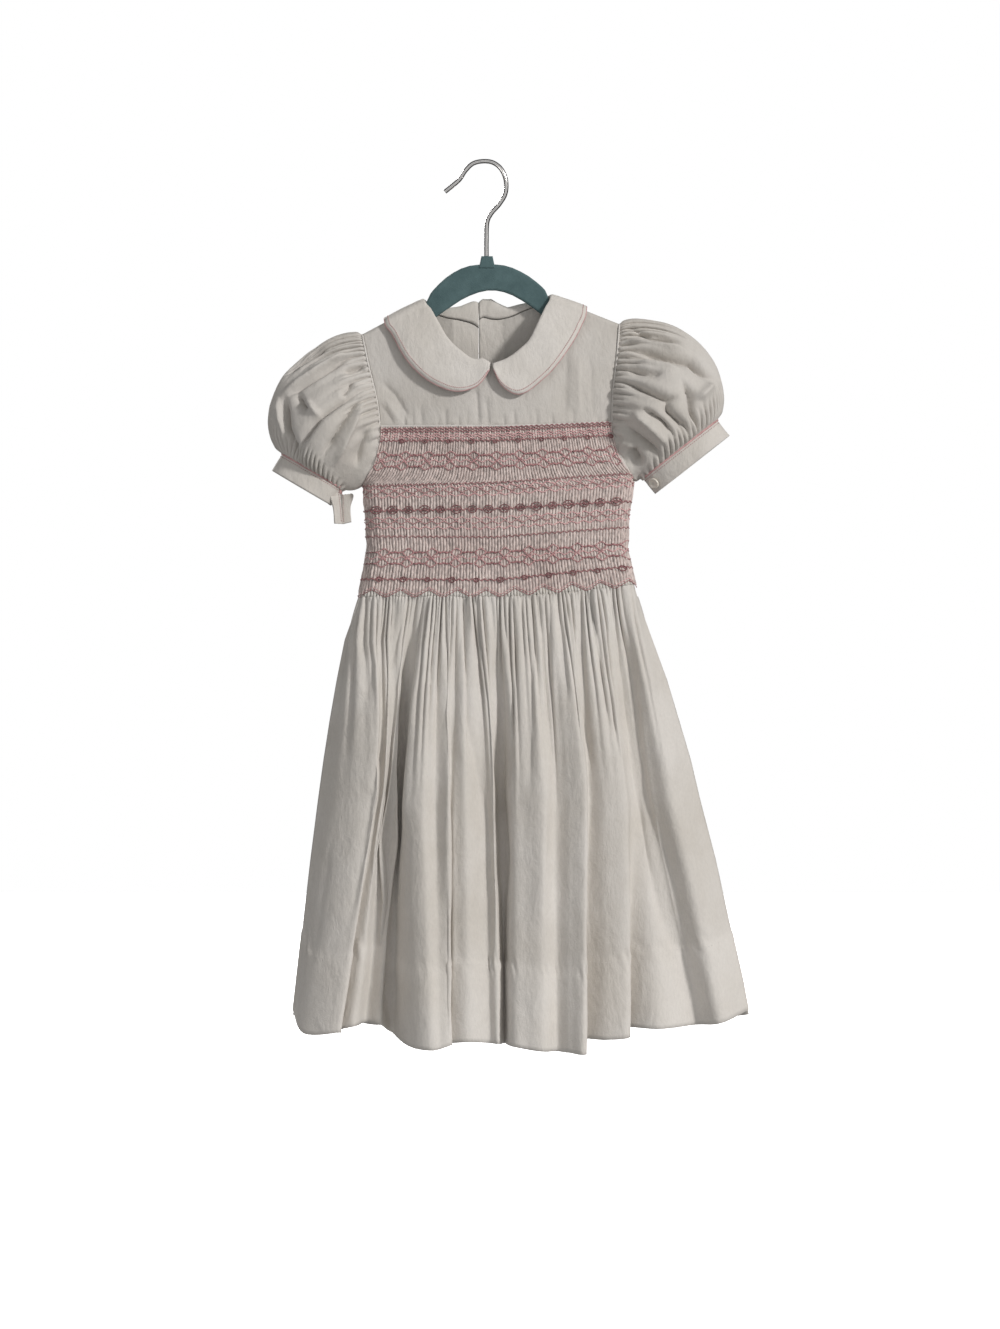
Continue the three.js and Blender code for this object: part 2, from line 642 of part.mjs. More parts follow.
/** One half of the back bodice, from the shoulder to the waist. Its centre edge is the back opening. */
function backHalf(side) {
  const centre = OPENING_X + (side === "left" ? -SEAM_GAP : SEAM_GAP) / 2;
  const bottomZ = WAIST_Z + SEAM_GAP;
  const neck = through(neckPlaces[side].map((p, i) => (i ? p : vec(centre, p.y, 0))));
  const { neckX } = SHOULDERS[side];
  const tipX = first(ARMHOLE[side]).x;
  const top = inTurn([neck, (t) => vec(lerp(neckX, tipX, t), SEAM_GAP / 2, 0)], [0.55, 0.45]);
  const left = (v) => vec(centre, lerp(top(0).y, qAt(centre, bottomZ, 1), v), 0);
  const underarm = 0.58;
  const right = (v) => {
    if (v <= underarm) return armholeEdge(side, 1, 1)(v / underarm);
    const z = lerp(last(ARMHOLE[side]).z, bottomZ, (v - underarm) / (1 - underarm));
    const x = column(BODY, "z", side, z);
    return vec(x, qAt(x, z, 1), 0);
  };
  const bottom = (u) => {
    const x = lerp(centre, right(1).x, Math.sin((u * Math.PI) / 2) ** 0.9);
    return vec(x, qAt(x, bottomZ, 1), 0);
  };
  const rows = [0, 0.011, 0.022, 0.036, 0.1, 0.2, 0.34, 0.46, underarm, 0.78, 1];
  const grid = patch({ top, bottom, left, right }, 16, rows);
  // Seen from behind, the right-hand side of the dress lies to the left.
  if (side === "right") grid.forEach((row) => row.reverse());
  return wall(grid, { level: { bottom: true } });
}

// Sleeves and cuffs

/** The seam of a sleeve round the armhole: the share runs from the shoulder down the front and up the back. */
function armholeRing(side, share) {
  const face = share <= 0.5 ? -1 : 1;
  const down = share <= 0.5 ? share * 2 : 2 - share * 2;
  const p = armholes[side](down);
  const ahead = armholes[side](clamp01(down + 0.02)).sub(armholes[side](clamp01(down - 0.02))).normalize();
  const away = vec(-ahead.y, 0, ahead.x).multiplyScalar(SLEEVES[side].outward * ARM_GAP);
  const seam = onCloth(p.x, -face * p.y);
  if (down > 0.995) seam.y = 0;
  return seam.add(away);
}

/** A point round a cuff's ring: share 0 is its outer corner, 0.25 its front and 0.5 its underarm corner. */
function cuffRing({ x, z, half, deep, run, rise }, share, along = 0) {
  const turn = share * 2 * Math.PI;
  const across = -half * Math.cos(turn);
  const [axisX, axisZ] = [-Math.abs(rise) * Math.sign(run), -Math.abs(run)];
  return vec(x + across * run + axisX * along, -deep * Math.sin(turn), z + across * rise + axisZ * along);
}

/** A smooth value round a ring through its four quarters. */
function roundQuarters(rows, share) {
  const from = Math.floor(share * 4) % 4;
  const t = ease(share * 4 - Math.floor(share * 4));
  return vec(...["x", "y", "z"].map((key) => lerp(rows[from][key], rows[(from + 1) % 4][key], t)));
}

/** A point of a sleeve's cloth, at a share round it and a share v of the way from armhole to cuff. */
function onSleeve(side, share, v) {
  const { cuff, seam, out } = SLEEVES[side];
  const from = armholeRing(side, share);
  const to = cuffRing(cuff, share, -CUFF_GAP);
  const leaving = from.clone().add(roundQuarters(seam, share));
  const arriving = to.clone().add(roundQuarters(out, share));
  return new THREE.CubicBezierCurve3(from, leaving, arriving, to).getPoint(v);
}

/** Shares round a sleeve, closer together over the shoulder, running left to right as seen from outside. */
function sleeveShares(side, count) {
  return Array.from({ length: count }, (_, i) => {
    const t = side === "left" ? 1 - i / count : i / count;
    return (t - 0.09 * Math.sin(2 * Math.PI * t)) % 1;
  });
}

function sleeve(side) {
  const shares = sleeveShares(side, SLEEVE_COLS);
  const rows = SLEEVE_ROWS.map((v) => shares.map((share) => onSleeve(side, share, v)));
  rows.forEach((row) => row.forEach((p, i) => (p.at = i / SLEEVE_COLS)));
  const normals = normalsOf(rows, true);
  SLEEVE_ROWS.forEach((v, j) =>
    rows[j].forEach((p, i) => {
      const gathered = ease((Math.cos(shares[i] * 2 * Math.PI) + 1.1) / 0.6); // the underarm stays smooth
      const cap = gathered * ease(v / 0.06) * (1 - ease(v / 0.45));
      const cuff = ease((v - 0.6) / 0.3) * (1 - ease((v - 0.94) / 0.06));
      p.addScaledVector(normals[j][i], (i % 2 ? -1 : 1) * PUFF_DEPTH * (cap + cuff));
    }),
  );
  return wall(rows, { closed: true });
}

/** The right cuff is a buttoned ring; the left one is open, and its two ends hang from the underarm. */
function cuffBand(side) {
  const { cuff } = SLEEVES[side];
  const widths = [SEAM_GAP, CUFF_WIDTH / 2, CUFF_WIDTH];
  if (side === "right") {
    const ring = (along) => steps(30).slice(1).map((share) => cuffRing(cuff, share, along));
    return wall(widths.map(ring), { closed: true, thick: BAND });
  }
  // The ends turn downward and spread, one to the front left and one to the back right.
  const tails = [
    { share: 0.46, wideX: -0.93, wideZ: -0.36, y: -1 },
    { share: 0.54, wideX: 0.86, wideZ: -0.5, y: 1.6 },
  ];
  const tail = ({ share, wideX, wideZ, y }, along) =>
    [0.25, 0.6, 1].map((t) => {
      const foot = cuffRing(cuff, share, SEAM_GAP);
      const spread = along * (t < 0.5 ? 0.85 : 0.62);
      return vec(foot.x + 3 * t + wideX * spread, y, foot.z - CUFF_TAIL * t + wideZ * spread);
    });
  const path = (along) => {
    const ring = steps(26).map((t) => cuffRing(cuff, lerp(tails[0].share, tails[1].share - 1, t), along));
    return [...tail(tails[0], along).reverse(), ...ring, ...tail(tails[1], along)];
  };
  return wall(widths.map(path).map((row) => row.reverse()), { thick: BAND });
}

// The collar, in two halves

/** Unrolled places along one half of the collar's neck seam, from the centre front to the back opening. */
function collarSeam(side) {
  const front = neckPlaces.front;
  const middle = NECK.front.findIndex((row) => row.x > 0) + 1;
  const ahead = side === "left" ? front.slice(1, middle + 1).reverse() : front.slice(middle, -1);
  const behind = neckPlaces[side].slice(0, -1).reverse();
  const shoulder = vec(SHOULDERS[side].neckX, 0, 0);
  const gap = side === "left" ? -3 * SEAM_GAP : 3 * SEAM_GAP;
  const places = [...ahead, shoulder, ...behind].map((p) => p.clone());
  first(places).add(vec(gap, 2 * SEAM_GAP, 0));
  last(places).x += gap;
  return places;
}

function collar(side) {
  const seamPlaces = collarSeam(side);
  const seam = through(seamPlaces);
  const edge = through(COLLAR_EDGE[side].map(unrolled));
  const stands = side === "left" ? NECK.left : NECK.right;
  const standAt = (s) => (s < 0 ? lerp(SHOULDER_STAND, 1.5, clamp01(-s * 4)) : standBehind(s));
  const standBehind = (s) => {
    const rows = [{ stand: SHOULDER_STAND }, ...stands.toReversed()];
    const at = s * (rows.length - 1);
    const from = Math.min(rows.length - 2, Math.floor(at));
    return lerp(rows[from].stand, rows[from + 1].stand, at - from);
  };
  const crossing = [seam, edge].map((rail) => shareWhere(rail, (p) => p.y >= 0));
  const on = (rail, which, s) => rail(s < 0 ? crossing[which] * (1 + s) : lerp(crossing[which], 1, s));
  const across = [-1, -0.92, -0.82, -0.7, -0.56, -0.42, -0.28, -0.16, -0.1, -0.06, -0.03, 0, 0.03, 0.06, 0.1];
  const columns = [...across, 0.18, 0.3, 0.44, 0.58, 0.72, 0.84, 0.93, 1];
  const rows = COLLAR_ROWS.map(({ stand, fall, lift }) =>
    columns.map((s) => {
      const foot = on(seam, 0, s);
      // The stand leads into the neck: up the front, across the shoulder and up the back.
      const turn = (s * Math.PI) / 2;
      const inward = vec(Math.cos(turn) * (side === "left" ? 1 : -1), -Math.sin(turn), 0);
      const top = foot.clone().addScaledVector(inward, NECK_GAP + stand * standAt(s));
      const place = top.lerp(on(edge, 1, s), fall);
      const pressed = lerp(SHOULDER_PRESS, 1, ease(Math.abs(s) / 0.4)); // it lies closest over the shoulder
      return onCloth(place.x, place.y, lift * pressed);
    }),
  );
  if (side === "left") rows.forEach((row) => row.reverse());
  return wall(rows, { thick: BAND });
}

// Buttons

/** A round button with a raised rim, on a place and facing along a direction. */
function button(radius, centre, facing) {
  const { thick, rim } = BUTTON;
  const profile = [
    [0, 0],
    [radius * 0.8, 0],
    [radius, thick * 0.45],
    [radius * 0.94, thick],
    [radius * 0.74, thick],
    [radius * 0.66, thick - rim],
    [0, thick - rim],
  ].map(([r, h]) => new THREE.Vector2(r, h));
  const geometry = new THREE.LatheGeometry(profile, 14);
  geometry.rotateX(Math.PI / 2);
  geometry.applyQuaternion(new THREE.Quaternion().setFromUnitVectors(vec(0, 0, 1), facing.clone().normalize()));
  geometry.translate(centre.x, centre.y, centre.z);
  return geometry;
}

function cuffButton() {
  const { cuff } = SLEEVES.right;
  const at = (share) => cuffRing(cuff, share, CUFF_WIDTH * 0.55);
  const ahead = at(0.43).sub(at(0.41));
  const axis = cuffRing(cuff, 0.42, 1).sub(cuffRing(cuff, 0.42, 0));
  const facing = ahead.cross(axis).normalize();
  if (facing.y > 0) facing.negate();
  return button(BUTTON.cuffR, at(0.42).addScaledVector(facing, BAND / 2 + SEAM_GAP + 0.4), facing);
}

function backButton(z) {
  const x = OPENING_X + OPENING_STRIP / 2;
  const seat = onBody(x, z, 1);
  const facing = vec(0, 1, 0);
  return button(BUTTON.backR, seat.addScaledVector(facing, CLOTH / 2 + SEAM_GAP + 0.3), facing);
}

// The hanger

/** Top or bottom edge of the hanger as points from one tip to the other. */
function hangerEdge(edge) {
  const arm = (side, t) => {
    const x = lerp(SHOULDERS[side].neckX, HANGER_TIPS[side], t);
    const top = ridge(x) - CLOTH / 2 - REST_GAP - 0.3;
    return new THREE.Vector2(x, edge === "top" ? top : top - lerp(ARM_HEIGHT.neck, ARM_HEIGHT.tip, t));
  };
  const arch = new THREE.SplineCurve(ARCH.map((row) => new THREE.Vector2(row.x, row[edge])));
  const armShares = [0.98, 0.5, 0.03];
  return [
    ...armShares.map((t) => arm("left", t)),
    ...arch.getPoints(24),
    ...armShares.toReversed().map((t) => arm("right", t)),
  ];
}

/** A three.js geometry as a manifold solid. */
function solid(wasm, geometry) {
  const bare = geometry.index ? geometry.toNonIndexed() : geometry.clone();
  bare.deleteAttribute("normal");
  bare.deleteAttribute("uv");
  const merged = mergeVertices(bare, 1e-3);
  return new wasm.Manifold(
    new wasm.Mesh({
      numProp: 3,
      vertProperties: merged.attributes.position.array,
      triVerts: new Uint32Array(merged.index.array),
    }),
  );
}

/** Several overlapping geometries as one. */
function joined(wasm, geometries) {
  const made = geometries
    .map((geometry) => solid(wasm, geometry))
    .reduce((a, b) => a.add(b))
    .getMesh();
  const geometry = new THREE.BufferGeometry();
  geometry.setAttribute("position", new THREE.Float32BufferAttribute(made.vertProperties, 3));
  geometry.setIndex([...made.triVerts]);
  geometry.computeVertexNormals();
  return geometry;
}

/** A flat outline in X and Z, extruded through a thickness about the middle plane with rounded edges. */
function slab(outline, thick, bevel) {
  const geometry = new THREE.ExtrudeGeometry(new THREE.Shape(outline), {
    depth: thick - 2 * bevel,
    bevelEnabled: true,
    bevelThickness: bevel,
    bevelSize: bevel,
    bevelOffset: -bevel,
    bevelSegments: 2,
    steps: 1,
  });
  geometry.rotateX(Math.PI / 2);
  geometry.translate(0, thick / 2 - bevel, 0);
  return geometry;
}

function hangerBody(wasm) {
  const tip = (side) => {
    const x = HANGER_TIPS[side];
    return new THREE.Vector2(x, ridge(x) - CLOTH / 2 - REST_GAP - ARM_HEIGHT.tip / 2);
  };
  const outline = [tip("left"), ...hangerEdge("bottom"), tip("right"), ...hangerEdge("top").reverse()];
  const { x, width, foot, top, bottom } = BOSS;
  const boss = [
    new THREE.Vector2(x - foot / 2, bottom),
    new THREE.Vector2(x + foot / 2, bottom),
    new THREE.Vector2(x + width / 2, top),
    new THREE.Vector2(x - width / 2, top),
  ];
  return joined(wasm, [slab(outline, HANGER_THICK, 1.6), slab(boss, HANGER_THICK + 1.6, 1)]);
}

function hangerHook(wasm) {
  const foot = vec(first(HOOK).x, 0, BOSS.top + SEAM_GAP);
  const bends = HOOK.map(({ x, z }) => vec(x, 0, z));
  const path = new THREE.CatmullRomCurve3([foot, ...bends], false, "centripetal");
  const section = steps(9)
    .slice(1)
    .map((t) => new THREE.Vector2(Math.cos(t * 2 * Math.PI), Math.sin(t * 2 * Math.PI)).multiplyScalar(WIRE_R));
  const wire = new THREE.ExtrudeGeometry(new THREE.Shape(section), {
    steps: 32,
    extrudePath: path,
    bevelEnabled: false,
  });
  const end = new THREE.SphereGeometry(WIRE_R * 1.1, 10, 7);
  end.translate(last(HOOK).x, 0, last(HOOK).z);
  return joined(wasm, [wire, end]);
}

// Assembly

const wasm = await Module();
wasm.setup();

const FINISH = {
  cotton: { color: 0xd9d4ce, roughness: 0.9, metalness: 0 },
  smocking: { color: 0xcfaeaa, roughness: 0.9, metalness: 0 },
  flock: { color: 0x4d6466, roughness: 1, metalness: 0 },
  chrome: { color: 0xc4c4c6, roughness: 0.15, metalness: 1 },
  pearl: { color: 0xe6ded0, roughness: 0.25, metalness: 0 },
};

const dress = new THREE.Group();

function place(name, geometry, finish) {
  const mesh = new THREE.Mesh(geometry, new THREE.MeshStandardMaterial(FINISH[finish]));
  mesh.name = name;
  dress.add(mesh);
}

place("front_yoke", frontYoke(), "cotton");
place("front_panel", frontPanel(), "smocking");
place("skirt_back", skirtBack(), "cotton");
for (const side of ["left", "right"]) {
  place(`back_bodice_${side}`, backHalf(side), "cotton");
  place(`sleeve_${side}`, sleeve(side), "cotton");
  place(`cuff_${side}`, cuffBand(side), "cotton");
  place(`collar_${side}`, collar(side), "cotton");
}
place("cuff_button", cuffButton(), "pearl");
BACK_BUTTONS.forEach((z, i) => place(`back_button_${i + 1}`, backButton(z), "pearl"));
place("hanger_body", hangerBody(wasm), "flock");
place("hanger_hook", hangerHook(wasm), "chrome");

export default dress;
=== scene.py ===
"""The looks of a child's smocked cotton dress that hangs on a flocked hanger.

Sizes are millimetres until a mesh is made, which is in metres. X runs to the right of the front, Y to the
back and Z up, and the origin is the inside top of the hook. The cloth follows the same named sizes as the
part's source, on finer grids, with its creases on top.
"""

import logging  # noqa: E402
import math  # noqa: E402
from collections.abc import Callable, Sequence  # noqa: E402
from dataclasses import dataclass, field  # noqa: E402
from enum import Enum  # noqa: E402

import bpy  # noqa: E402
import numpy as np  # noqa: E402
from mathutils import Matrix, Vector  # noqa: E402


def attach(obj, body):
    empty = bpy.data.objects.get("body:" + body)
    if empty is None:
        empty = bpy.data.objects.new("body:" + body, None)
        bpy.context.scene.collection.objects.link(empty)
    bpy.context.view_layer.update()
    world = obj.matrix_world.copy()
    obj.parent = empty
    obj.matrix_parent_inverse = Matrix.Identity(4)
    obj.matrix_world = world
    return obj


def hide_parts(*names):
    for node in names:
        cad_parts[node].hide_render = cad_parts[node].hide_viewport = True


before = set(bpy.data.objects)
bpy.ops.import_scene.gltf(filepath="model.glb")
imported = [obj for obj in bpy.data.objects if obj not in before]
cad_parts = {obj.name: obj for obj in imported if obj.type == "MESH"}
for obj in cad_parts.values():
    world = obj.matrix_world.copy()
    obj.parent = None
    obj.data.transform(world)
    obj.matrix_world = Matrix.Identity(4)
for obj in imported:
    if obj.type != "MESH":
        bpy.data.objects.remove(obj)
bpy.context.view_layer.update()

Array = np.ndarray
Edge = Callable[[Array], Array]
Piece = bpy.types.Object
Material = bpy.types.Material
Colour = tuple[int, int, int]
Strand = tuple[float, float, float, float, float]

MM = 0.001
PIXEL = 0.8  # millimetres of the dress to one pixel of the 1000 by 1329 photograph
PIXEL_AT_ORIGIN = (485.0, 163.5)
PHOTO_SIZE = (1000, 1329)
SMOCKING_PIXELS = (372, 495, 622)  # its left edge, middle and right edge in the photograph
LOWEST_ROW = (594.0, 594.2, 584.6)  # the smocking's last row of stitches there
PLEATS_TO_WAVE = 9  # along that row
SEAM_GAP = 0.15  # half of the space between two cloths that meet
HEM_DEPTH = 64.0
BODY = "root"

logging.basicConfig(level=logging.INFO, format="%(message)s")
LOG = logging.getLogger("dress")


class Side(Enum):
    """The two sides of the dress, as seen from the front."""

    LEFT = "left"
    RIGHT = "right"

    @property
    def outward(self) -> int:
        """The sign of x on this side."""
        return -1 if self is Side.LEFT else 1


class Held(Enum):
    """How a sheet of cloth is held."""

    HUNG = "hung"
    GATHERED = "gathered"
    FOLDED = "folded"


# Small calculations


def lerp(a: Array | float, b: Array | float, t: Array | float) -> Array | float:
    """The value at a share t of the way from a to b."""
    return a + (b - a) * t


def ease(t: Array | float) -> Array:
    """A share that starts and stops gently."""
    held = np.clip(t, 0.0, 1.0)
    return held * held * (3 - 2 * held)


def spot(px: float, py: float) -> tuple[float, float]:
    """The x and z, in millimetres, of a place seen at a pixel of the photograph."""
    return (px - PIXEL_AT_ORIGIN[0]) * PIXEL, (PIXEL_AT_ORIGIN[1] - py) * PIXEL


def column(rows: Sequence[dict[str, float]], wanted: str, z: Array | float) -> Array:
    """Reads a column of a table whose rows run down by z, with straight lines between rows."""
    heights = [row["z"] for row in rows][::-1]
    return np.interp(z, heights, [row[wanted] for row in rows][::-1])


def seen_height(pixels: tuple[float, float, float], x: Array | float) -> Array:
    """Height z above x of a line seen at three pixels: at the smocking's left edge, middle and right edge."""
    across = [spot(px, 0)[0] for px in SMOCKING_PIXELS]
    return np.interp(x, across, [spot(0, py)[1] for py in pixels])


def zigzag(turn: Array) -> Array:
    """A wave of straight lines, from -0.5 at whole turns to 0.5 half way between."""
    return 0.5 - np.abs(turn % 1 - 0.5) * 2


def unit(vectors: Array) -> Array:
    """Vectors made one long."""
    return vectors / np.maximum(np.linalg.norm(vectors, axis=-1, keepdims=True), 1e-9)


def cubic(start: Array, stop: Array, leaving: Array, arriving: Array, t: Array) -> Array:
    """Points on the cubic curve between two points, with its directions there."""
    way = stop - start
    second, third = 3 * way - 2 * leaving - arriving, leaving + arriving - 2 * way
    return start + leaving * t + second * t**2 + third * t**3


def spline(points: Array, per_span: int = 30) -> Array:
    """A line of points on the centripetal Catmull-Rom curve through some points.

    Args:
        points: The points that the curve passes.
        per_span: How many steps it takes from one to the next.

    Returns:
        The line of points, one row each.
    """
    knots = np.asarray(points, float)
    ends = np.vstack([2 * knots[0] - knots[1], knots, 2 * knots[-1] - knots[-2]])
    t = np.linspace(0, 1, per_span, endpoint=False)[:, None]
    line = []
    for p0, p1, p2, p3 in zip(ends, ends[1:], ends[2:], ends[3:], strict=False):
        pairs = ((p0, p1), (p1, p2), (p2, p3))
        d0, d1, d2 = (max(float(np.linalg.norm(b - a)) ** 0.5, 1e-2) for a, b in pairs)
        m1 = ((p1 - p0) / d0 - (p2 - p0) / (d0 + d1) + (p2 - p1) / d1) * d1
        m2 = ((p2 - p1) / d1 - (p3 - p1) / (d1 + d2) + (p3 - p2) / d2) * d1
        line.append(cubic(p1, p2, m1, m2, t))
    return np.vstack([*line, knots[-1:]])


def run_along(line: Array) -> Array:
    """The distance of each point of a line from its start."""
    return np.r_[0, np.cumsum(np.linalg.norm(np.diff(line, axis=0), axis=1))]


def read_at(places: Array, run: Array, values: Array) -> Array:
    """Rows of values, known at the places of a run, read at other places."""
    return np.stack([np.interp(places, run, one) for one in values.T], -1)


@dataclass
class Rail:
    """A smooth curve through points, read by the share of its length."""

    points: Array

    def __post_init__(self) -> None:
        """Measures the curve."""
        self.line = spline(self.points)
        run = run_along(self.line)
        self.run = run / run[-1]

    def at(self, share: Array | float) -> Array:
        """The points at shares of the length."""
        return read_at(np.clip(share, 0, 1), self.run, self.line)

    def share_where(self, values: Array, wanted: float) -> float:
        """The share at which values, one for each point of the line, first rise to a wanted one."""
        return float(self.run[int(np.argmax(values >= wanted))])


# Cloth


@dataclass(frozen=True)
class Crease:
    """A soft trough (depth below 0) or ridge (above 0) along a line of the photograph's pixels."""

    depth: float
    width: float
    line: tuple[tuple[float, float], ...]

    def relief(self, x: Array, z: Array, shift: tuple[float, float] = (0.0, 0.0)) -> Array:
        """How far the crease moves the cloth at each place.

        Args:
            x: Places across, in millimetres.
            z: Places up.
            shift: Moves the whole crease, in millimetres.

        Returns:
            The height that it adds at each place.
        """
        knots = np.array([spot(px, py) for px, py in self.line]) + np.array(shift)
        spans = np.linalg.norm(np.diff(knots, axis=0), axis=1)
        whole = spans.sum()
        nearest = np.full(x.shape, 1e9)
        share = np.zeros(x.shape)
        width = np.full(x.shape, self.width)
        before = 0.0
        for (x0, z0), (x1, z1), span in zip(knots, knots[1:], spans, strict=False):
            t = np.clip(((x - x0) * (x1 - x0) + (z - z0) * (z1 - z0)) / span**2, 0, 1)
            away = np.hypot(x - lerp(x0, x1, t), z - lerp(z0, z1, t))
            closer = away < nearest
            nearest = np.where(closer, away, nearest)
            side = ((x - x0) * (z1 - z0) - (z - z0) * (x1 - x0)) / span
            # One flank of the crease is steeper than the other.
            flank = lerp(0.75, 1.7, ease(0.5 + side / self.width))
            width = np.where(closer, self.width * flank, width)
            share = np.where(closer, (before + t * span) / whole, share)
            before += span
        fade = ease(share / 0.3) * ease((1 - share) / 0.3)
        return self.depth * fade * np.exp(-((nearest / width) ** 1.12))


def creased(points: Array, normals: Array, creases: Sequence[Crease], face: int = -1) -> Array:
    """Heights of creases over a grid: the seen ones on its front, and like ones on its hidden side.

    Args:
        points: The grid of cloth.
        normals: Its outward normals.
        creases: The creases of the seen side.
        face: -1 where the seen side looks to the front.

    Returns:
        A height for each point of the grid.
    """
    x, z = points[..., 0], points[..., 2]
    seen = ease(0.5 + 1.6 * face * normals[..., 1])
    height = np.zeros(x.shape)
    for number, crease in enumerate(creases):
        hidden = crease.relief(x, z, (5.0 * math.sin(number * 2.3), -6.0 + 4 * math.cos(number * 1.7)))
        height += seen * crease.relief(x, z) + 0.8 * (1 - seen) * hidden
    return height


@dataclass(frozen=True)
class Crinkles:
    """Low, soft crinkles from a few crossed waves, whose length and height are in millimetres."""

    length: float
    height: float
    seed: int
    waves: int = 7

    def over(self, points: Array) -> Array:
        """A height for each point of a grid."""
        rng = np.random.default_rng(self.seed)
        total = np.zeros(points.shape[:-1])
        for _ in range(self.waves):
            way = unit(rng.normal(size=3) * np.array([1.0, 0.5, 0.55]))
            bend = unit(rng.normal(size=3))
            phase = rng.uniform(0, 6.28)
            wave = 2 * np.pi / (self.length * rng.uniform(0.7, 1.8))
            total += np.sin(points @ way * wave + 1.6 * np.sin(points @ bend * wave * 0.41 + phase) + phase)
        return self.height * total / self.waves


@dataclass
class Sheet:
    """A grid of cloth whose rows run left to right, from top to bottom, as seen from outside."""

    points: Array
    closed: bool = False

    def __post_init__(self) -> None:
        """Works out the normals."""
        self.normals = self.facing()

    def facing(self) -> Array:
        """Outward unit normals of the grid."""
        if self.closed:
            across = np.roll(self.points, -1, 1) - np.roll(self.points, 1, 1)
        else:
            across = np.gradient(self.points, axis=1)
        return unit(np.cross(np.gradient(self.points, axis=0), across))

    def run(self, axis: int) -> Array:
        """The distance of each point down the cloth (axis 0) or across it (axis 1)."""
        first = self.points.take([0], axis)
        return np.linalg.norm(np.diff(self.points, axis=axis, prepend=first), axis=-1).cumsum(axis)

    def raised(self, height: Array) -> "Sheet":
        """The same cloth with each point moved out along its normal."""
        return Sheet(self.points + self.normals * height[..., None], self.closed)

    def at(self, u: Array, v: Array, lift: float = 0.0) -> tuple[Array, Array]:
        """Points and normals at shares across and down, lifted off the cloth."""
        rows, cols = self.points.shape[:2]
        i = np.clip(np.asarray(u) * (cols - 1), 0, cols - 1.001)
        j = np.clip(np.asarray(v) * (rows - 1), 0, rows - 1.001)
        i0, j0 = i.astype(int), j.astype(int)
        a, b = (i - i0)[..., None], (j - j0)[..., None]
        read = [
            lerp(lerp(g[j0, i0], g[j0, i0 + 1], a), lerp(g[j0 + 1, i0], g[j0 + 1, i0 + 1], a), b)
            for g in (self.points, self.normals)
        ]
        out = unit(read[1])
        return read[0] + out * lift, out

    def mesh(self, name: str, thick: float, doubled: Array | float = 0.0) -> Piece:
        """A thin closed shell about the grid.

        Args:
            name: Name of the piece.
            thick: Thickness of the cloth, in millimetres.
            doubled: 1 where a second layer lies behind the cloth, for each point of the grid.

        Returns:
            The new piece, in metres, with a UV map in metres of cloth.
        """
        rows, cols = self.points.shape[:2]
        ids = np.arange(rows * cols).reshape(rows, cols)
        if self.closed:
            ids = np.hstack([ids, ids[:, :1]])
        a, b, c, d = ids[:-1, :-1], ids[1:, :-1], ids[1:, 1:], ids[:-1, 1:]
        outer = np.stack([a, b, c, d], -1).reshape(-1, 4)
        size = rows * cols
        faces = [outer, outer[:, ::-1] + size]
        edges = [ids[0][::-1], ids[-1]]
        if not self.closed:
            edges += [ids[:, 0], ids[::-1, -1]]
        for line in edges:
            faces.append(np.stack([line[:-1], line[:-1] + size, line[1:] + size, line[1:]], -1))
        half = self.normals * (thick / 2)
        places = np.vstack([(self.points + half).reshape(-1, 3), (self.points - half).reshape(-1, 3)]) * MM
        down, over = self.run(0).mean(1), self.run(1).mean(0)
        flat = np.stack([over[None].repeat(rows, 0), down[:, None].repeat(cols, 1)], -1)
        made = plain_mesh(name, places, np.vstack(faces), np.tile(flat.reshape(-1, 2), (2, 1)) * MM)
        layers = np.broadcast_to(np.asarray(doubled, float), (rows, cols)).ravel()
        kept = made.data.attributes.new("doubled", "FLOAT", "POINT")
        kept.data.foreach_set("value", np.tile(layers, 2).astype(np.float32))
        return made


def plain_mesh(
    name: str, places: Array, faces: Array | list, flat: Array | None = None, edges: Sequence = ()
) -> Piece:
    """A smooth-shaded object of its own from points and faces.

    Args:
        name: Name of the object.
        places: Points, in metres.
        faces: Corners of each face, facing out.
        flat: Each point's place on the flat cloth, for a UV map.
        edges: Pairs of points, where there are no faces.

    Returns:
        The object, linked into the scene.
    """
    mesh = bpy.data.meshes.new(name)
    corners = [list(map(int, face)) for face in faces]
    mesh.from_pydata(places.tolist(), list(edges), corners)
    if flat is not None:
        layer = mesh.uv_layers.new(name="cloth")
        loops = np.zeros(len(mesh.loops), np.int32)
        mesh.loops.foreach_get("vertex_index", loops)
        layer.data.foreach_set("uv", flat[loops].astype(np.float32).ravel())
    mesh.polygons.foreach_set("use_smooth", np.ones(len(mesh.polygons), bool))
    mesh.update()
    made = bpy.data.objects.new(name, mesh)
    bpy.context.scene.collection.objects.link(made)
    return made


# Geometry Nodes for what follows a path


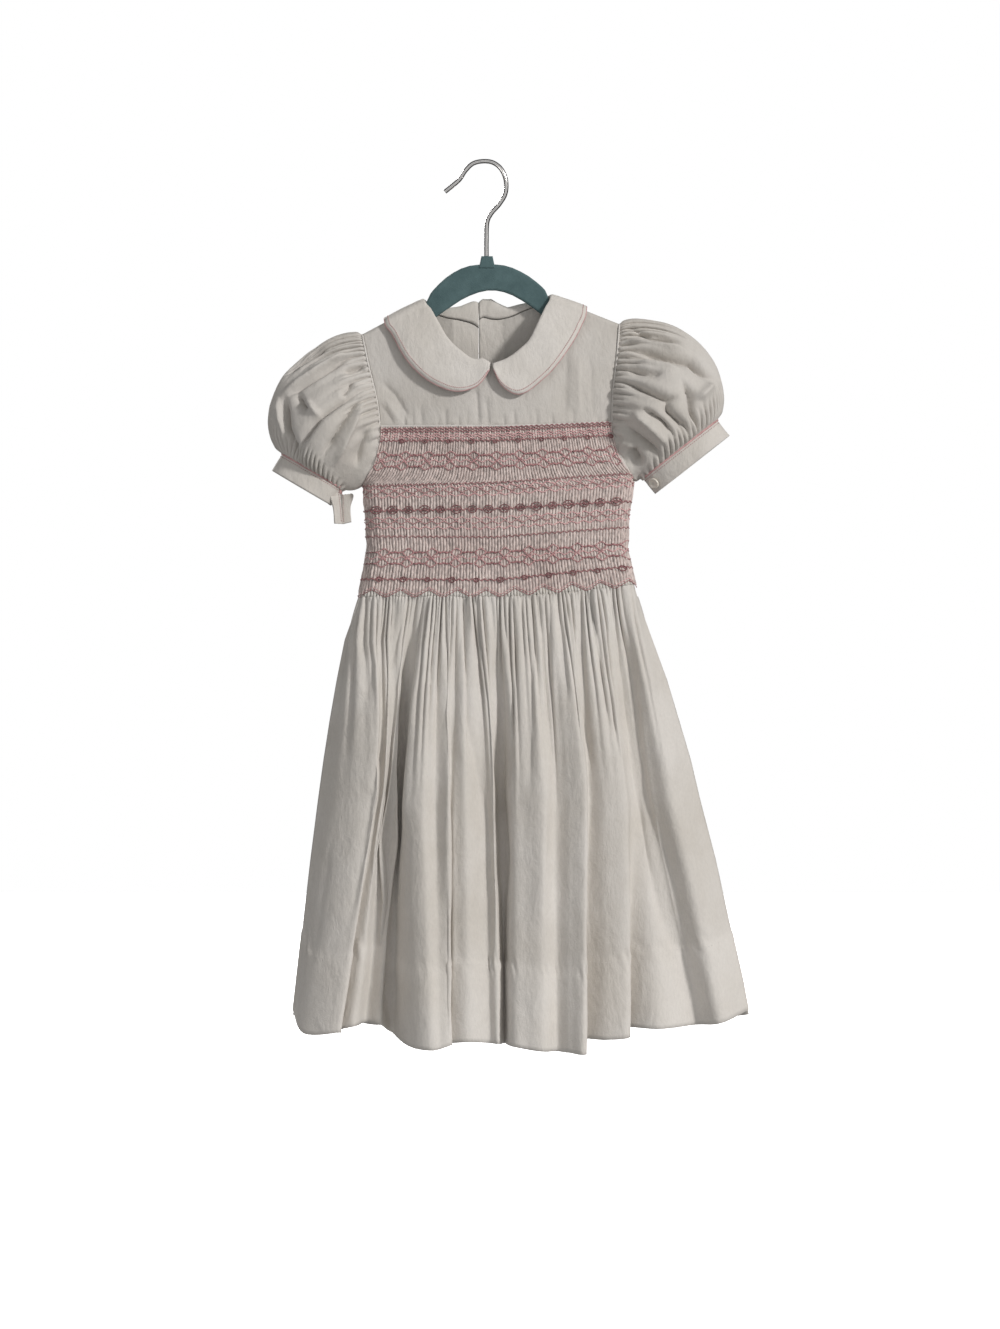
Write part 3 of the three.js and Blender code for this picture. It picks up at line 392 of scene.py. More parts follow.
class NodeTree:
    """Builds a node tree by short calls."""

    def __init__(self, tree: bpy.types.NodeTree) -> None:
        """Keeps the tree."""
        self.tree = tree

    def add(self, kind: str, **settings: object) -> bpy.types.Node:
        """A node with its settings."""
        node = self.tree.nodes.new(kind)
        for key, value in settings.items():
            setattr(node, key, value)
        return node

    def join(self, source: bpy.types.NodeSocket, target: bpy.types.NodeSocket) -> None:
        """Links a socket to another."""
        self.tree.links.new(source, target)

    def set(self, node: bpy.types.Node, **values: object) -> bpy.types.Node:
        """Gives inputs a value or a link, by name with underscores for spaces."""
        for key, value in values.items():
            socket = node.inputs[key.replace("_", " ")]
            if isinstance(value, bpy.types.NodeSocket):
                self.join(value, socket)
            else:
                socket.default_value = value
        return node

    def chain(self, source: bpy.types.NodeSocket, *nodes: bpy.types.Node) -> bpy.types.NodeSocket:
        """Leads geometry through nodes, one after the other."""
        for node in nodes:
            self.join(source, node.inputs[0])
            source = node.outputs[0]
        return source

    def noise(self, place: bpy.types.NodeSocket, scale: float, **values: float) -> bpy.types.NodeSocket:
        """A noise over some coordinates."""
        return self.set(self.add("ShaderNodeTexNoise"), Vector=place, Scale=scale, **values).outputs["Fac"]

    def spread(self, value: bpy.types.NodeSocket, **limits: float) -> bpy.types.NodeSocket:
        """A value carried from one range to another."""
        return self.set(self.add("ShaderNodeMapRange"), Value=value, **limits).outputs["Result"]

    def mix(self, share: bpy.types.NodeSocket, light: Colour, shade: Colour) -> bpy.types.NodeSocket:
        """A colour between two, by a share."""
        node = self.add("ShaderNodeMix", data_type="RGBA")
        return self.set(node, Factor=share, A=linear(light), B=linear(shade)).outputs["Result"]

    def times(self, *factors: bpy.types.NodeSocket) -> bpy.types.NodeSocket:
        """The product of two values."""
        node = self.add("ShaderNodeMath", operation="MULTIPLY")
        for socket, factor in zip(node.inputs, factors, strict=False):
            self.join(factor, socket)
        return node.outputs["Value"]

    def bump(self, height: bpy.types.NodeSocket, strength: float, distance: float) -> bpy.types.Node:
        """A bump of a height."""
        return self.set(self.add("ShaderNodeBump"), Height=height, Strength=strength, Distance=distance)


def grown(piece: Piece, name: str, fill: Callable, **values: object) -> Piece:
    """Runs a Geometry Nodes tree on a piece and keeps the result as its plain mesh.

    Args:
        piece: The object with the points or lines.
        name: Name of the tree, which is made once.
        fill: Adds the tree's nodes between its input node and the finish.
        values: The tree's inputs by name, the finish among them.

    Returns:
        The same object with its new mesh and no modifier.
    """
    group = bpy.data.node_groups.get(name)
    if group is None:
        group = bpy.data.node_groups.new(name, "GeometryNodeTree")
        group.interface.new_socket("Geometry", in_out="INPUT", socket_type="NodeSocketGeometry")
        for key, value in values.items():
            kind = {float: "Float", int: "Int"}.get(type(value), "Material")
            group.interface.new_socket(key, in_out="INPUT", socket_type=f"NodeSocket{kind}")
        group.interface.new_socket("Geometry", in_out="OUTPUT", socket_type="NodeSocketGeometry")
        net = NodeTree(group)
        start, end = net.add("NodeGroupInput"), net.add("NodeGroupOutput")
        real, smooth = net.add("GeometryNodeRealizeInstances"), net.add("GeometryNodeSetShadeSmooth")
        dress = net.set(net.add("GeometryNodeSetMaterial"), Material=start.outputs["Finish"])
        net.join(net.chain(fill(net, start), real, smooth, dress), end.inputs["Geometry"])
    modifier = piece.modifiers.new(name, "NODES")
    modifier.node_group = group
    for item in group.interface.items_tree:
        if item.item_type == "SOCKET" and item.in_out == "INPUT" and item.name in values:
            modifier[item.identifier] = values[item.name]
    bpy.context.view_layer.update()
    depsgraph = bpy.context.evaluated_depsgraph_get()
    made = bpy.data.meshes.new_from_object(piece.evaluated_get(depsgraph), depsgraph=depsgraph)
    piece.modifiers.clear()
    piece.data = made
    made.name = piece.name
    return piece


@dataclass(frozen=True)
class Strands:
    """Short lengths of thread, laid one by one: the Geometry Nodes tree takes each strand from a point."""

    sides: int = 6
    rings: int = 5

    @staticmethod
    def fill(net: NodeTree, start: bpy.types.Node) -> bpy.types.NodeSocket:
        """An ellipsoid of thread on each point, along its attributes."""
        ball = net.add("GeometryNodeMeshUVSphere")
        net.set(ball, Segments=start.outputs["Sides"], Rings=start.outputs["Rings"], Radius=0.5)
        along, out, size = (
            net.set(net.add("GeometryNodeInputNamedAttribute", data_type="FLOAT_VECTOR"), Name=name)
            for name in ("along", "out", "size")
        )
        turn = net.add("FunctionNodeAxesToRotation", primary_axis="Z", secondary_axis="X")
        for read, socket in ((along, turn.inputs[0]), (out, turn.inputs[1])):
            net.join(read.outputs["Attribute"], socket)
        place = net.add("GeometryNodeInstanceOnPoints")
        net.set(place, Points=start.outputs["Geometry"], Instance=ball.outputs["Mesh"])
        net.set(place, Rotation=turn.outputs["Rotation"], Scale=size.outputs["Attribute"])
        return place.outputs["Instances"]

    def lay(
        self, name: str, centres: Array, along: Array, out: Array, size: Array, thread: Material
    ) -> Piece:
        """Lays the strands and keeps them as one plain mesh.

        Args:
            name: Name of the piece.
            centres: Middle of each strand, in millimetres.
            along: Direction of each strand.
            out: Direction away from the cloth.
            size: Thickness out, thickness across and length of each strand, in millimetres.
            thread: Finish of the thread.

        Returns:
            The strands as one piece.
        """
        piece = plain_mesh(name, centres * MM, [])
        for attribute, values in (("along", unit(along)), ("out", unit(out)), ("size", size * MM)):
            kept = piece.data.attributes.new(attribute, "FLOAT_VECTOR", "POINT")
            kept.data.foreach_set("vector", values.astype(np.float32).ravel())
        return grown(piece, "strands", self.fill, Sides=self.sides, Rings=self.rings, Finish=thread)


@dataclass(frozen=True)
class Cord:
    """A round cord or wire along a line of points, swept by Geometry Nodes."""

    radius: float
    sides: int = 8

    @staticmethod
    def fill(net: NodeTree, start: bpy.types.Node) -> bpy.types.NodeSocket:
        """A circle swept along the line, with closed ends."""
        ring = net.add("GeometryNodeCurvePrimitiveCircle")
        net.set(ring, Radius=start.outputs["Radius"], Resolution=start.outputs["Sides"])
        path = net.set(net.add("GeometryNodeMeshToCurve"), Mesh=start.outputs["Geometry"])
        sweep = net.set(net.add("GeometryNodeCurveToMesh"), Curve=path.outputs["Curve"], Fill_Caps=True)
        return net.set(sweep, Profile_Curve=ring.outputs["Curve"]).outputs["Mesh"]

    def along(self, name: str, line: Array, finish: Material) -> Piece:
        """Sweeps the cord along a line of points, in millimetres."""
        piece = plain_mesh(name, line * MM, [], edges=[(i, i + 1) for i in range(len(line) - 1)])
        return grown(piece, "cord", self.fill, Radius=self.radius * MM, Sides=self.sides, Finish=finish)


# Finishes


def linear(colour: Colour) -> tuple[float, float, float, float]:
    """A colour of 0 to 255 a channel as Blender's linear one."""
    parts = [c / 255 for c in colour]
    made = [c / 12.92 if c <= 0.04045 else ((c + 0.055) / 1.055) ** 2.4 for c in parts]
    return (made[0], made[1], made[2], 1.0)


def new_material(name: str) -> tuple[Material, NodeTree, bpy.types.Node, bpy.types.NodeSocket]:
    """A material with its tree, its Principled shader and its Object coordinates."""
    material = bpy.data.materials.new(name)
    material.use_nodes = True
    net = NodeTree(material.node_tree)
    shader = material.node_tree.nodes["Principled BSDF"]
    return material, net, shader, net.add("ShaderNodeTexCoord").outputs["Object"]


@dataclass(frozen=True)
class Cotton:
    """Fine plain-woven cotton lawn, washed and lightly pressed."""

    name: str
    light: Colour
    shade: Colour
    threads: float = 2400.0  # to a metre
    crinkle: float = 0.62  # strength of the soft crinkles
    fleck: float = 0.04  # depth of small darker flecks
    single: float = 0.84  # brightness where no second layer lies behind

    def material(self) -> Material:
        """The material: weave on the cloth's own UV map, mottling and crinkles on Object coordinates."""
        material, net, shader, place = new_material(self.name)
        mottle = net.noise(place, 14.0, Detail=4.0, Roughness=0.6)
        tone = net.mix(net.spread(mottle, From_Min=0.35, From_Max=0.68), self.light, self.shade)
        flat = net.add("ShaderNodeUVMap", uv_map="cloth").outputs["UV"]
        waves = {"Scale": self.threads * math.pi / 10, "Distortion": 0.6, "Detail": 1.0, "Detail_Scale": 2.0}
        warp, weft = (
            net.set(net.add("ShaderNodeTexWave", bands_direction=way), Vector=flat, **waves).outputs["Fac"]
            for way in ("X", "Y")
        )
        weave = net.times(warp, weft)
        doubled = net.add("ShaderNodeAttribute", attribute_name="doubled").outputs["Fac"]
        tint = net.times(net.spread(weave, To_Min=0.93), net.spread(doubled, To_Min=self.single))
        squash = net.set(net.add("ShaderNodeMapping"), Vector=place, Scale=(1.0, 1.0, 0.5)).outputs["Vector"]
        speck = net.spread(net.noise(squash, 620.0), From_Min=0.35, From_Max=0.6, To_Min=1 - self.fleck)
        fine = net.add("ShaderNodeMix", data_type="RGBA", blend_type="MULTIPLY")
        net.set(fine, Factor=1.0, A=tone, B=net.times(tint, speck))
        rumple = net.noise(squash, 70.0, Detail=6.0, Roughness=0.62, Distortion=0.25)
        soft = net.bump(rumple, self.crinkle, 0.0032)
        grain = net.set(net.bump(weave, 0.35, 0.00012), Normal=soft.outputs["Normal"])
        net.set(shader, Base_Color=fine.outputs["Result"], Normal=grain.outputs["Normal"])
        net.set(shader, Roughness=net.spread(mottle, To_Min=0.78, To_Max=0.94))
        net.set(shader, Sheen_Weight=0.12, Sheen_Roughness=0.45, Specular_IOR_Level=0.22)
        return material


@dataclass(frozen=True)
class Thread:
    """Stranded embroidery cotton, with its twist and a soft gloss."""

    name: str
    light: Colour
    shade: Colour

    def material(self) -> Material:
        """The material, whose twist and tone read Object coordinates."""
        material, net, shader, place = new_material(self.name)
        tone = net.spread(net.noise(place, 160.0, Detail=3.0), From_Min=0.35, From_Max=0.65)
        twist = net.add("ShaderNodeTexWave", bands_direction="DIAGONAL")
        net.set(twist, Vector=place, Scale=420.0, Distortion=1.5, Detail=1.0)
        bump = net.bump(twist.outputs["Fac"], 0.5, 0.0001).outputs["Normal"]
        net.set(shader, Base_Color=net.mix(tone, self.light, self.shade), Normal=bump)
        net.set(shader, Roughness=0.55, Sheen_Weight=0.15, Sheen_Roughness=0.4, Specular_IOR_Level=0.3)
        return material


@dataclass(frozen=True)
class Flock:
    """Short velvet fibres on plastic, brushed in patches; the wear at its edges is not made."""

    name: str
    light: Colour
    shade: Colour

    def material(self) -> Material:
        """The material, with fibres as a fine bump and brushed patches as tone."""
        material, net, shader, place = new_material(self.name)
        brushed = net.noise(place, 38.0, Detail=6.0, Roughness=0.7)
        tone = net.mix(net.spread(brushed, From_Min=0.32, From_Max=0.7), self.light, self.shade)
        bump = net.bump(net.noise(place, 1600.0), 0.7, 0.0005).outputs["Normal"]
        net.set(shader, Base_Color=tone, Normal=bump, Sheen_Tint=linear(self.light))
        net.set(shader, Roughness=0.95, Sheen_Weight=0.5, Sheen_Roughness=0.5, Specular_IOR_Level=0.1)
        return material


@dataclass(frozen=True)
class Chrome:
    """Polished chrome on wire, with fine rub marks."""

    name: str
    colour: Colour

    def material(self) -> Material:
        """The material, whose roughness varies a little."""
        material, net, shader, place = new_material(self.name)
        rough = net.spread(net.noise(place, 90.0, Detail=3.0), To_Min=0.15, To_Max=0.22)
        net.set(shader, Base_Color=linear(self.colour), Metallic=1.0, Roughness=rough)
        return material


@dataclass(frozen=True)
class Pearl:
    """Moulded pearly button."""

    name: str
    light: Colour
    shade: Colour

    def material(self) -> Material:
        """The material, with clouds of tone under a gloss."""
        material, net, shader, place = new_material(self.name)
        clouds = net.noise(place, 300.0, Detail=3.0, Distortion=1.2)
        net.set(shader, Base_Color=net.mix(clouds, self.light, self.shade))
        net.set(shader, Roughness=0.22, Coat_Weight=0.4, Coat_Roughness=0.15)
        return material


def made_of(finish: Cotton | Thread | Flock | Chrome | Pearl) -> Material:
    """A field that holds the material of a finish."""
    return field(default_factory=finish.material)


@dataclass
class Wardrobe:
    """All finishes of the dress and its hanger."""

    cotton: Material = made_of(Cotton("cotton_lawn", (224, 219, 213), (213, 207, 199)))
    smocked: Material = made_of(
        Cotton("pleated_cotton", (232, 217, 211), (217, 199, 193), crinkle=0.3, fleck=0.4)
    )
    dark: Material = made_of(Thread("rose_thread", (176, 130, 131), (147, 102, 104)))
    mid: Material = made_of(Thread("old_rose_thread", (192, 148, 148), (166, 122, 123)))
    pale: Material = made_of(Thread("pale_pink_thread", (224, 178, 178), (204, 154, 156)))
    knot: Material = made_of(Thread("garnet_thread", (146, 102, 103), (116, 78, 80)))
    piping: Material = made_of(Thread("pink_edging", (204, 166, 164), (178, 138, 137)))
    seam: Material = made_of(Thread("white_thread", (214, 210, 205), (200, 195, 190)))
    flock: Material = made_of(Flock("teal_flock", (92, 114, 116), (72, 92, 94)))
    chrome: Material = made_of(Chrome("chrome_wire", (226, 224, 222)))
    pearl: Material = made_of(Pearl("pearl_button", (228, 222, 212), (204, 196, 184)))


def dressed(piece: Piece, finish: Material, slot: str, *nodes: str) -> Piece:
    """Gives a piece its finish and body, hides the CAD nodes that it replaces and logs its triangles.

    Args:
        piece: The piece.
        finish: Its material.
        slot: The record's material slot, which is not used.
        nodes: CAD nodes that it replaces.

    Returns:
        The same piece.
    """
    if not piece.data.materials:
        piece.data.materials.append(finish)
    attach(piece, BODY)
    if nodes:
        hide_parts(*nodes)
    count = sum(len(face.vertices) - 2 for face in piece.data.polygons)
    LOG.info("%s: %d triangles", piece.name, count)
    return piece


# The body of the dress


@dataclass(frozen=True)
class DressForm:
    """The tube of cloth over the hanger, unrolled as x and the distance q from the shoulder fold."""

    shoulder_r: float = 4.15
    side_r: float = 11.0
    yoke_seam_z: float = -211.5
    waist_z: float = -347.0
    hem_z: float = -697.0
    climb_up: float = 10.0
    opening_x: float = -5.0
    neck_x: dict = field(default_factory=lambda: {Side.LEFT: -51.0, Side.RIGHT: 55.0})
    neck_z: dict = field(default_factory=lambda: {Side.LEFT: -112.0, Side.RIGHT: -108.2})
    slope: dict = field(default_factory=lambda: {Side.LEFT: 0.535, Side.RIGHT: 0.396})
    # Where the two sides of the tube close, and how far the front and back stand off the hanger's plane.
    body: tuple = (
        {"z": -100, "left": -124, "right": 134, "front": 19, "back": 13},
        {"z": -205, "left": -112, "right": 126, "front": 21, "back": 14},
        {"z": -240, "left": -101, "right": 119.5, "front": 21, "back": 14},
        {"z": -258, "left": -95.6, "right": 117, "front": 21, "back": 14},
        {"z": -285, "left": -94.2, "right": 113.4, "front": 20, "back": 14},
        {"z": -309, "left": -92.6, "right": 112.4, "front": 19, "back": 13},
        {"z": -347, "left": -99.6, "right": 121.2, "front": 20, "back": 14},
    )
    # Armhole seams as seen from the front, from the shoulder to the underarm: x and z.
    armhole: dict = field(
        default_factory=lambda: {
            Side.LEFT: (
                *((-98, -138), (-92.4, -161.6), (-84.8, -195)),
                *((-83.4, -218), (-88, -240), (-95.9, -256)),
            ),
            Side.RIGHT: (
                *((107, -128.8), (104.4, -158), (101.2, -188)),
                *((101.6, -214), (107.5, -235), (117.2, -252)),
            ),
        }
    )
    # Neck seam of the front, and of each half of the back from the opening to the shoulder: x, z and stand.
    neck_front: tuple = (
        *((-45.5, -119, 1.5), (-39, -131, 1.5), (-31.5, -143.5, 1.5), (-20.5, -154, 1.5)),
        *((-8, -161, 1.5), (5, -164.5, 1.5), (17.5, -160.5, 1.5), (28, -153.5, 1.5)),
        *((37, -145, 1.5), (44, -131.5, 1.5), (50.5, -117.5, 1.5)),
    )
    neck_back: dict = field(
        default_factory=lambda: {
            Side.LEFT: ((-5, -131, 18), (-10, -128, 14), (-20, -125, 8.5), (-32, -123, 6), (-42, -119, 3)),
            Side.RIGHT: (
                *((-5, -124.5, 13), (8, -124.4, 14.5), (20, -122.5, 6)),
                *((32, -117.5, 4.5), (45, -112, 3)),
            ),
        }
    )

    def ridge(self, x: Array | float) -> Array:
        """Height of the shoulder fold above x."""
        left = self.neck_z[Side.LEFT] + (x - self.neck_x[Side.LEFT]) * self.slope[Side.LEFT]
        right = self.neck_z[Side.RIGHT] - (x - self.neck_x[Side.RIGHT]) * self.slope[Side.RIGHT]
        return np.minimum(left, right)

    def stand_off(self, x: Array, z: Array, face: Array | int) -> Array:
        """How far the front (face -1) or back (face 1) stands off the middle plane."""
        left, right = column(self.body, "left", z), column(self.body, "right", z)
        full = np.where(np.asarray(face) < 0, column(self.body, "front", z), column(self.body, "back", z))
        edge = np.clip(np.minimum(x - left, right - x) / self.side_r, 0, 1)
        rim = self.side_r * np.sqrt(1 - (1 - edge) ** 2)
        middle = (x - (left + right) / 2) / ((right - left) / 2)
        belly = (full - self.side_r) * np.maximum(0, 1 - middle**2)
        below = np.maximum(0, self.ridge(x) - self.shoulder_r - z)
        return lerp(np.minimum(self.shoulder_r, rim), rim + belly, 1 - np.exp(-below / 40))

    def on_body(self, x: Array, z: Array, face: Array | int, lift: Array | float = 0.0) -> Array:
        """Points of the body at heights z, lifted off it."""
        out = np.maximum(SEAM_GAP, self.stand_off(x, z, face) + lift)
        return np.stack(np.broadcast_arrays(x, face * out, z), -1)

    def on_cloth(self, places: Array, lift: Array | float = 0.0) -> Array:
        """Points at unrolled places x and q: q below 0 runs down the front and above 0 down the back."""
        x, q = places[..., 0], places[..., 1]
        face = np.where(q < 0, -1, 1)
        turn = np.abs(q) / self.shoulder_r
        r = self.shoulder_r + lift
        over = np.stack([x, face * r * np.sin(turn), self.ridge(x) - self.shoulder_r + r * np.cos(turn)], -1)
        z = self.ridge(x) - self.shoulder_r * (1 - math.pi / 2) - np.abs(q)
        return np.where((turn < math.pi / 2)[..., None], over, self.on_body(x, z, face, lift))

    def q_at(self, x: Array, z: Array, face: int) -> Array:
        """The distance q from the shoulder fold of heights z."""
        return face * np.maximum(SEAM_GAP, self.ridge(x) - self.shoulder_r * (1 - math.pi / 2) - z)

    def unrolled(self, places: Sequence[Sequence[float]], face: int) -> Array:
        """Unrolled places of x and z pairs."""
        xz = np.array([p[:2] for p in places], float)
        return np.stack([xz[:, 0], self.q_at(xz[:, 0], xz[:, 1], face)], -1)

    def free(self, x: Array, z: Array) -> Array:
        """How free the cloth hangs, from 0 on the hanger to 1 below it."""
        return ease((self.ridge(x) - z - 12) / 20)

    def armhole_rail(self, side: Side) -> Rail:
        """The front half of an armhole as unrolled places; the back half mirrors it."""
        rows = self.armhole[side]
        return Rail(np.vstack([[rows[0][0], 0.0], self.unrolled(rows[1:], -1)]))

    def armhole_share(self, side: Side, z: float) -> float:
        """The share of an armhole's length at which it comes down to height z."""
        rail = self.armhole_rail(side)
        return rail.share_where(-self.on_cloth(rail.line)[:, 2], -z)

    def armhole_edge(self, side: Side, to: float, face: int) -> Edge:
        """An armhole edge from the shoulder to one of its shares, on the front or the back."""
        rail = self.armhole_rail(side)

        def edge(v: Array) -> Array:
            """Unrolled places down the edge."""
            p = rail.at(to * np.asarray(v))
            return np.stack([p[..., 0], face * np.maximum(SEAM_GAP, -p[..., 1])], -1)

        return edge

    def climb(self, x: Array) -> Array:
        """How much the seams across the front have climbed at x."""
        return self.climb_up * np.clip((x - 12) / 105, 0, 1) ** 1.6

    def yoke_seam(self, x: Array) -> Array:
        """Height of the seam between yoke and smocking."""
        return self.yoke_seam_z + 0.45 * self.climb(x)

    def waist_seam(self, x: Array) -> Array:
        """Height of the smocking's lower edge."""
        return self.waist_z + self.climb(x)

    def edge_at(self, side: Side, z: float) -> float:
        """The armhole, or the side seam below it, at height z."""
        if z > self.armhole[side][-1][1]:
            return float(self.armhole_rail(side).at(self.armhole_share(side, z))[0])
        return float(column(self.body, side.value, z))

    def neck_places(self, side: Side | None) -> Array:
        """Unrolled places of the neck seam: of the front, or of one half of the back."""
        if side is None:
            left, right = ([[self.neck_x[end], -SEAM_GAP]] for end in Side)
            return np.vstack([left, self.unrolled(self.neck_front, -1), right])
        return np.vstack([self.unrolled(self.neck_back[side], 1), [[self.neck_x[side], SEAM_GAP]]])

    def across(self, v: float, count: int) -> Array:
        """Evenly spaced points across the front, at a share v of the way from yoke to waist."""

        def height(x: Array) -> Array:
            """Height of the row above x."""
            return lerp(self.yoke_seam(x), self.waist_seam(x), v)

        left = self.edge_at(Side.LEFT, float(height(np.array(-90.0))))
        right = self.edge_at(Side.RIGHT, float(height(np.array(110.0))))
        x = lerp(left, right, 0.5 - np.cos(np.pi * np.linspace(0, 1, 900)) / 2)
        line = self.on_body(x, height(x), -1)
        run = run_along(line)
        return read_at(np.linspace(0, run[-1], count + 1), run, line)


def patch(form: DressForm, top: Edge, bottom: Edge, left: Edge, right: Edge, cols: int, rows: Array) -> Array:
    """Fills a patch of the body between four unrolled edges.

    Args:
        form: The body.
        top: Places along the top for shares across.
        bottom: Places along the bottom.
        left: Places down the left edge for shares down.
        right: Places down the right edge.
        cols: How many steps across.
        rows: The shares down at which the rows lie.

    Returns:
        A grid of points on the body.
    """
    u = np.linspace(0, 1, cols + 1)
    across, down = u[None, :, None], rows[:, None, None]
    ends = lerp(top(u)[None], bottom(u)[None], down)
    sides = lerp(left(rows)[:, None], right(rows)[:, None], across)
    high, low = (lerp(*edge(np.array([0.0, 1.0])), across) for edge in (top, bottom))
    return form.on_cloth(sides + ends - lerp(high, low, down))


def in_turn(edges: Sequence[Edge], shares: Sequence[float]) -> Edge:
    """Several edges in a row as one, each taking its share of the way."""
    starts = np.r_[0, np.cumsum(shares)]

    def edge(u: Array) -> Array:
        """Places along the joined edge."""
        which = np.clip(np.searchsorted(starts, u, "right") - 1, 0, len(edges) - 1)
        places = [part((u - starts[i]) / shares[i]) for i, part in enumerate(edges)]
        return np.choose(which[:, None], places)

    return edge


@dataclass
class Yoke:
    """The plain yoke of the front, from the shoulders to the smocking."""

    form: DressForm
    thick: float = 0.9
    cols: int = 190
    rows: int = 84
    creases: tuple = (
        Crease(-2.2, 3.2, ((378, 380), (395, 395), (413, 425))),
        Crease(-1.6, 2.6, ((380, 405), (389, 415), (396, 428))),
        Crease(1.2, 3.0, ((384, 398), (402, 425))),
        Crease(-2.0, 2.4, ((476, 385), (478, 405), (479, 431))),
        Crease(-1.3, 2.0, ((486, 395), (489, 431))),
        Crease(-1.8, 6.5, ((566, 345), (566, 385), (564, 428))),
        Crease(-1.2, 4.0, ((590, 350), (592, 420))),
        Crease(1.0, 4.0, ((578, 350), (579, 420))),
        Crease(-1.2, 3.0, ((420, 405), (424, 430))),
    )
    # Pixels of the puckers above the smocking.
    puckers: tuple = (
        *(406, 414, 433, 440, 447, 453, 460, 468, 497, 505),
        *(515, 523, 530, 537, 545, 553, 574, 583, 598),
    )
    pucker_foot: float = 436.0
    crinkles: Crinkles = Crinkles(34, 0.45, 3)
    piping: Cord = Cord(1.0)
    piping_lift: tuple = (0.0, -1.35, 0.3)  # off the seam above the smocking

    def build(self, finish: Wardrobe) -> Piece:
        """Makes and dresses the yoke."""
        form = self.form
        tips = {side: form.armhole[side][0][0] for side in Side}

        def shoulder(start: float, stop: float) -> Edge:
            """The shoulder seam between two x."""
            return lambda t: np.stack([lerp(start, stop, t), np.full(np.shape(t), -SEAM_GAP)], -1)

        neck = Rail(form.neck_places(None)).at
        left_seam = shoulder(tips[Side.LEFT], form.neck_x[Side.LEFT])
        top = in_turn([left_seam, neck, shoulder(form.neck_x[Side.RIGHT], tips[Side.RIGHT])], [0.2, 0.6, 0.2])

        def side_edge(side: Side) -> Edge:
            """The armhole down to the yoke's seam."""
            x = form.armhole_rail(side).at(form.armhole_share(side, form.yoke_seam_z))[0]
            return form.armhole_edge(side, form.armhole_share(side, float(form.yoke_seam(x))), -1)

        left, right = side_edge(Side.LEFT), side_edge(Side.RIGHT)
        ends = [float(edge(np.array([1.0]))[0, 0]) for edge in (left, right)]

        def bottom(u: Array) -> Array:
            """The seam above the smocking."""
            x = lerp(ends[0], ends[1], u)
            return np.stack([x, form.q_at(x, form.yoke_seam(x), -1)], -1)

        # The rows are closer together over the shoulder fold.
        cloth = Sheet(patch(form, top, bottom, left, right, self.cols, np.linspace(0, 1, self.rows) ** 1.5))
        x, z = cloth.points[..., 0], cloth.points[..., 2]
        free = form.free(x, z)
        height = creased(cloth.points, cloth.normals, self.creases) * free
        for number, px in enumerate(self.puckers):
            length = 1.3 * (12 + 7 * math.sin(number * 2.1))
            ends = ((px - 1, self.pucker_foot - 5 - length), (px, self.pucker_foot))
            height += Crease(-0.9 - 0.3 * math.cos(number * 1.3), 1.5, ends).relief(x, z)
        height += self.crinkles.over(cloth.points) * free
        piece = cloth.raised(height).mesh("yoke_cloth", self.thick)
        dressed(piece, finish.cotton, "cotton", "front_yoke")
        line = form.across(0.0, 160) + np.array(self.piping_lift)
        dressed(self.piping.along("yoke_seam_piping", line, finish.seam), finish.seam, "cotton")
        return piece


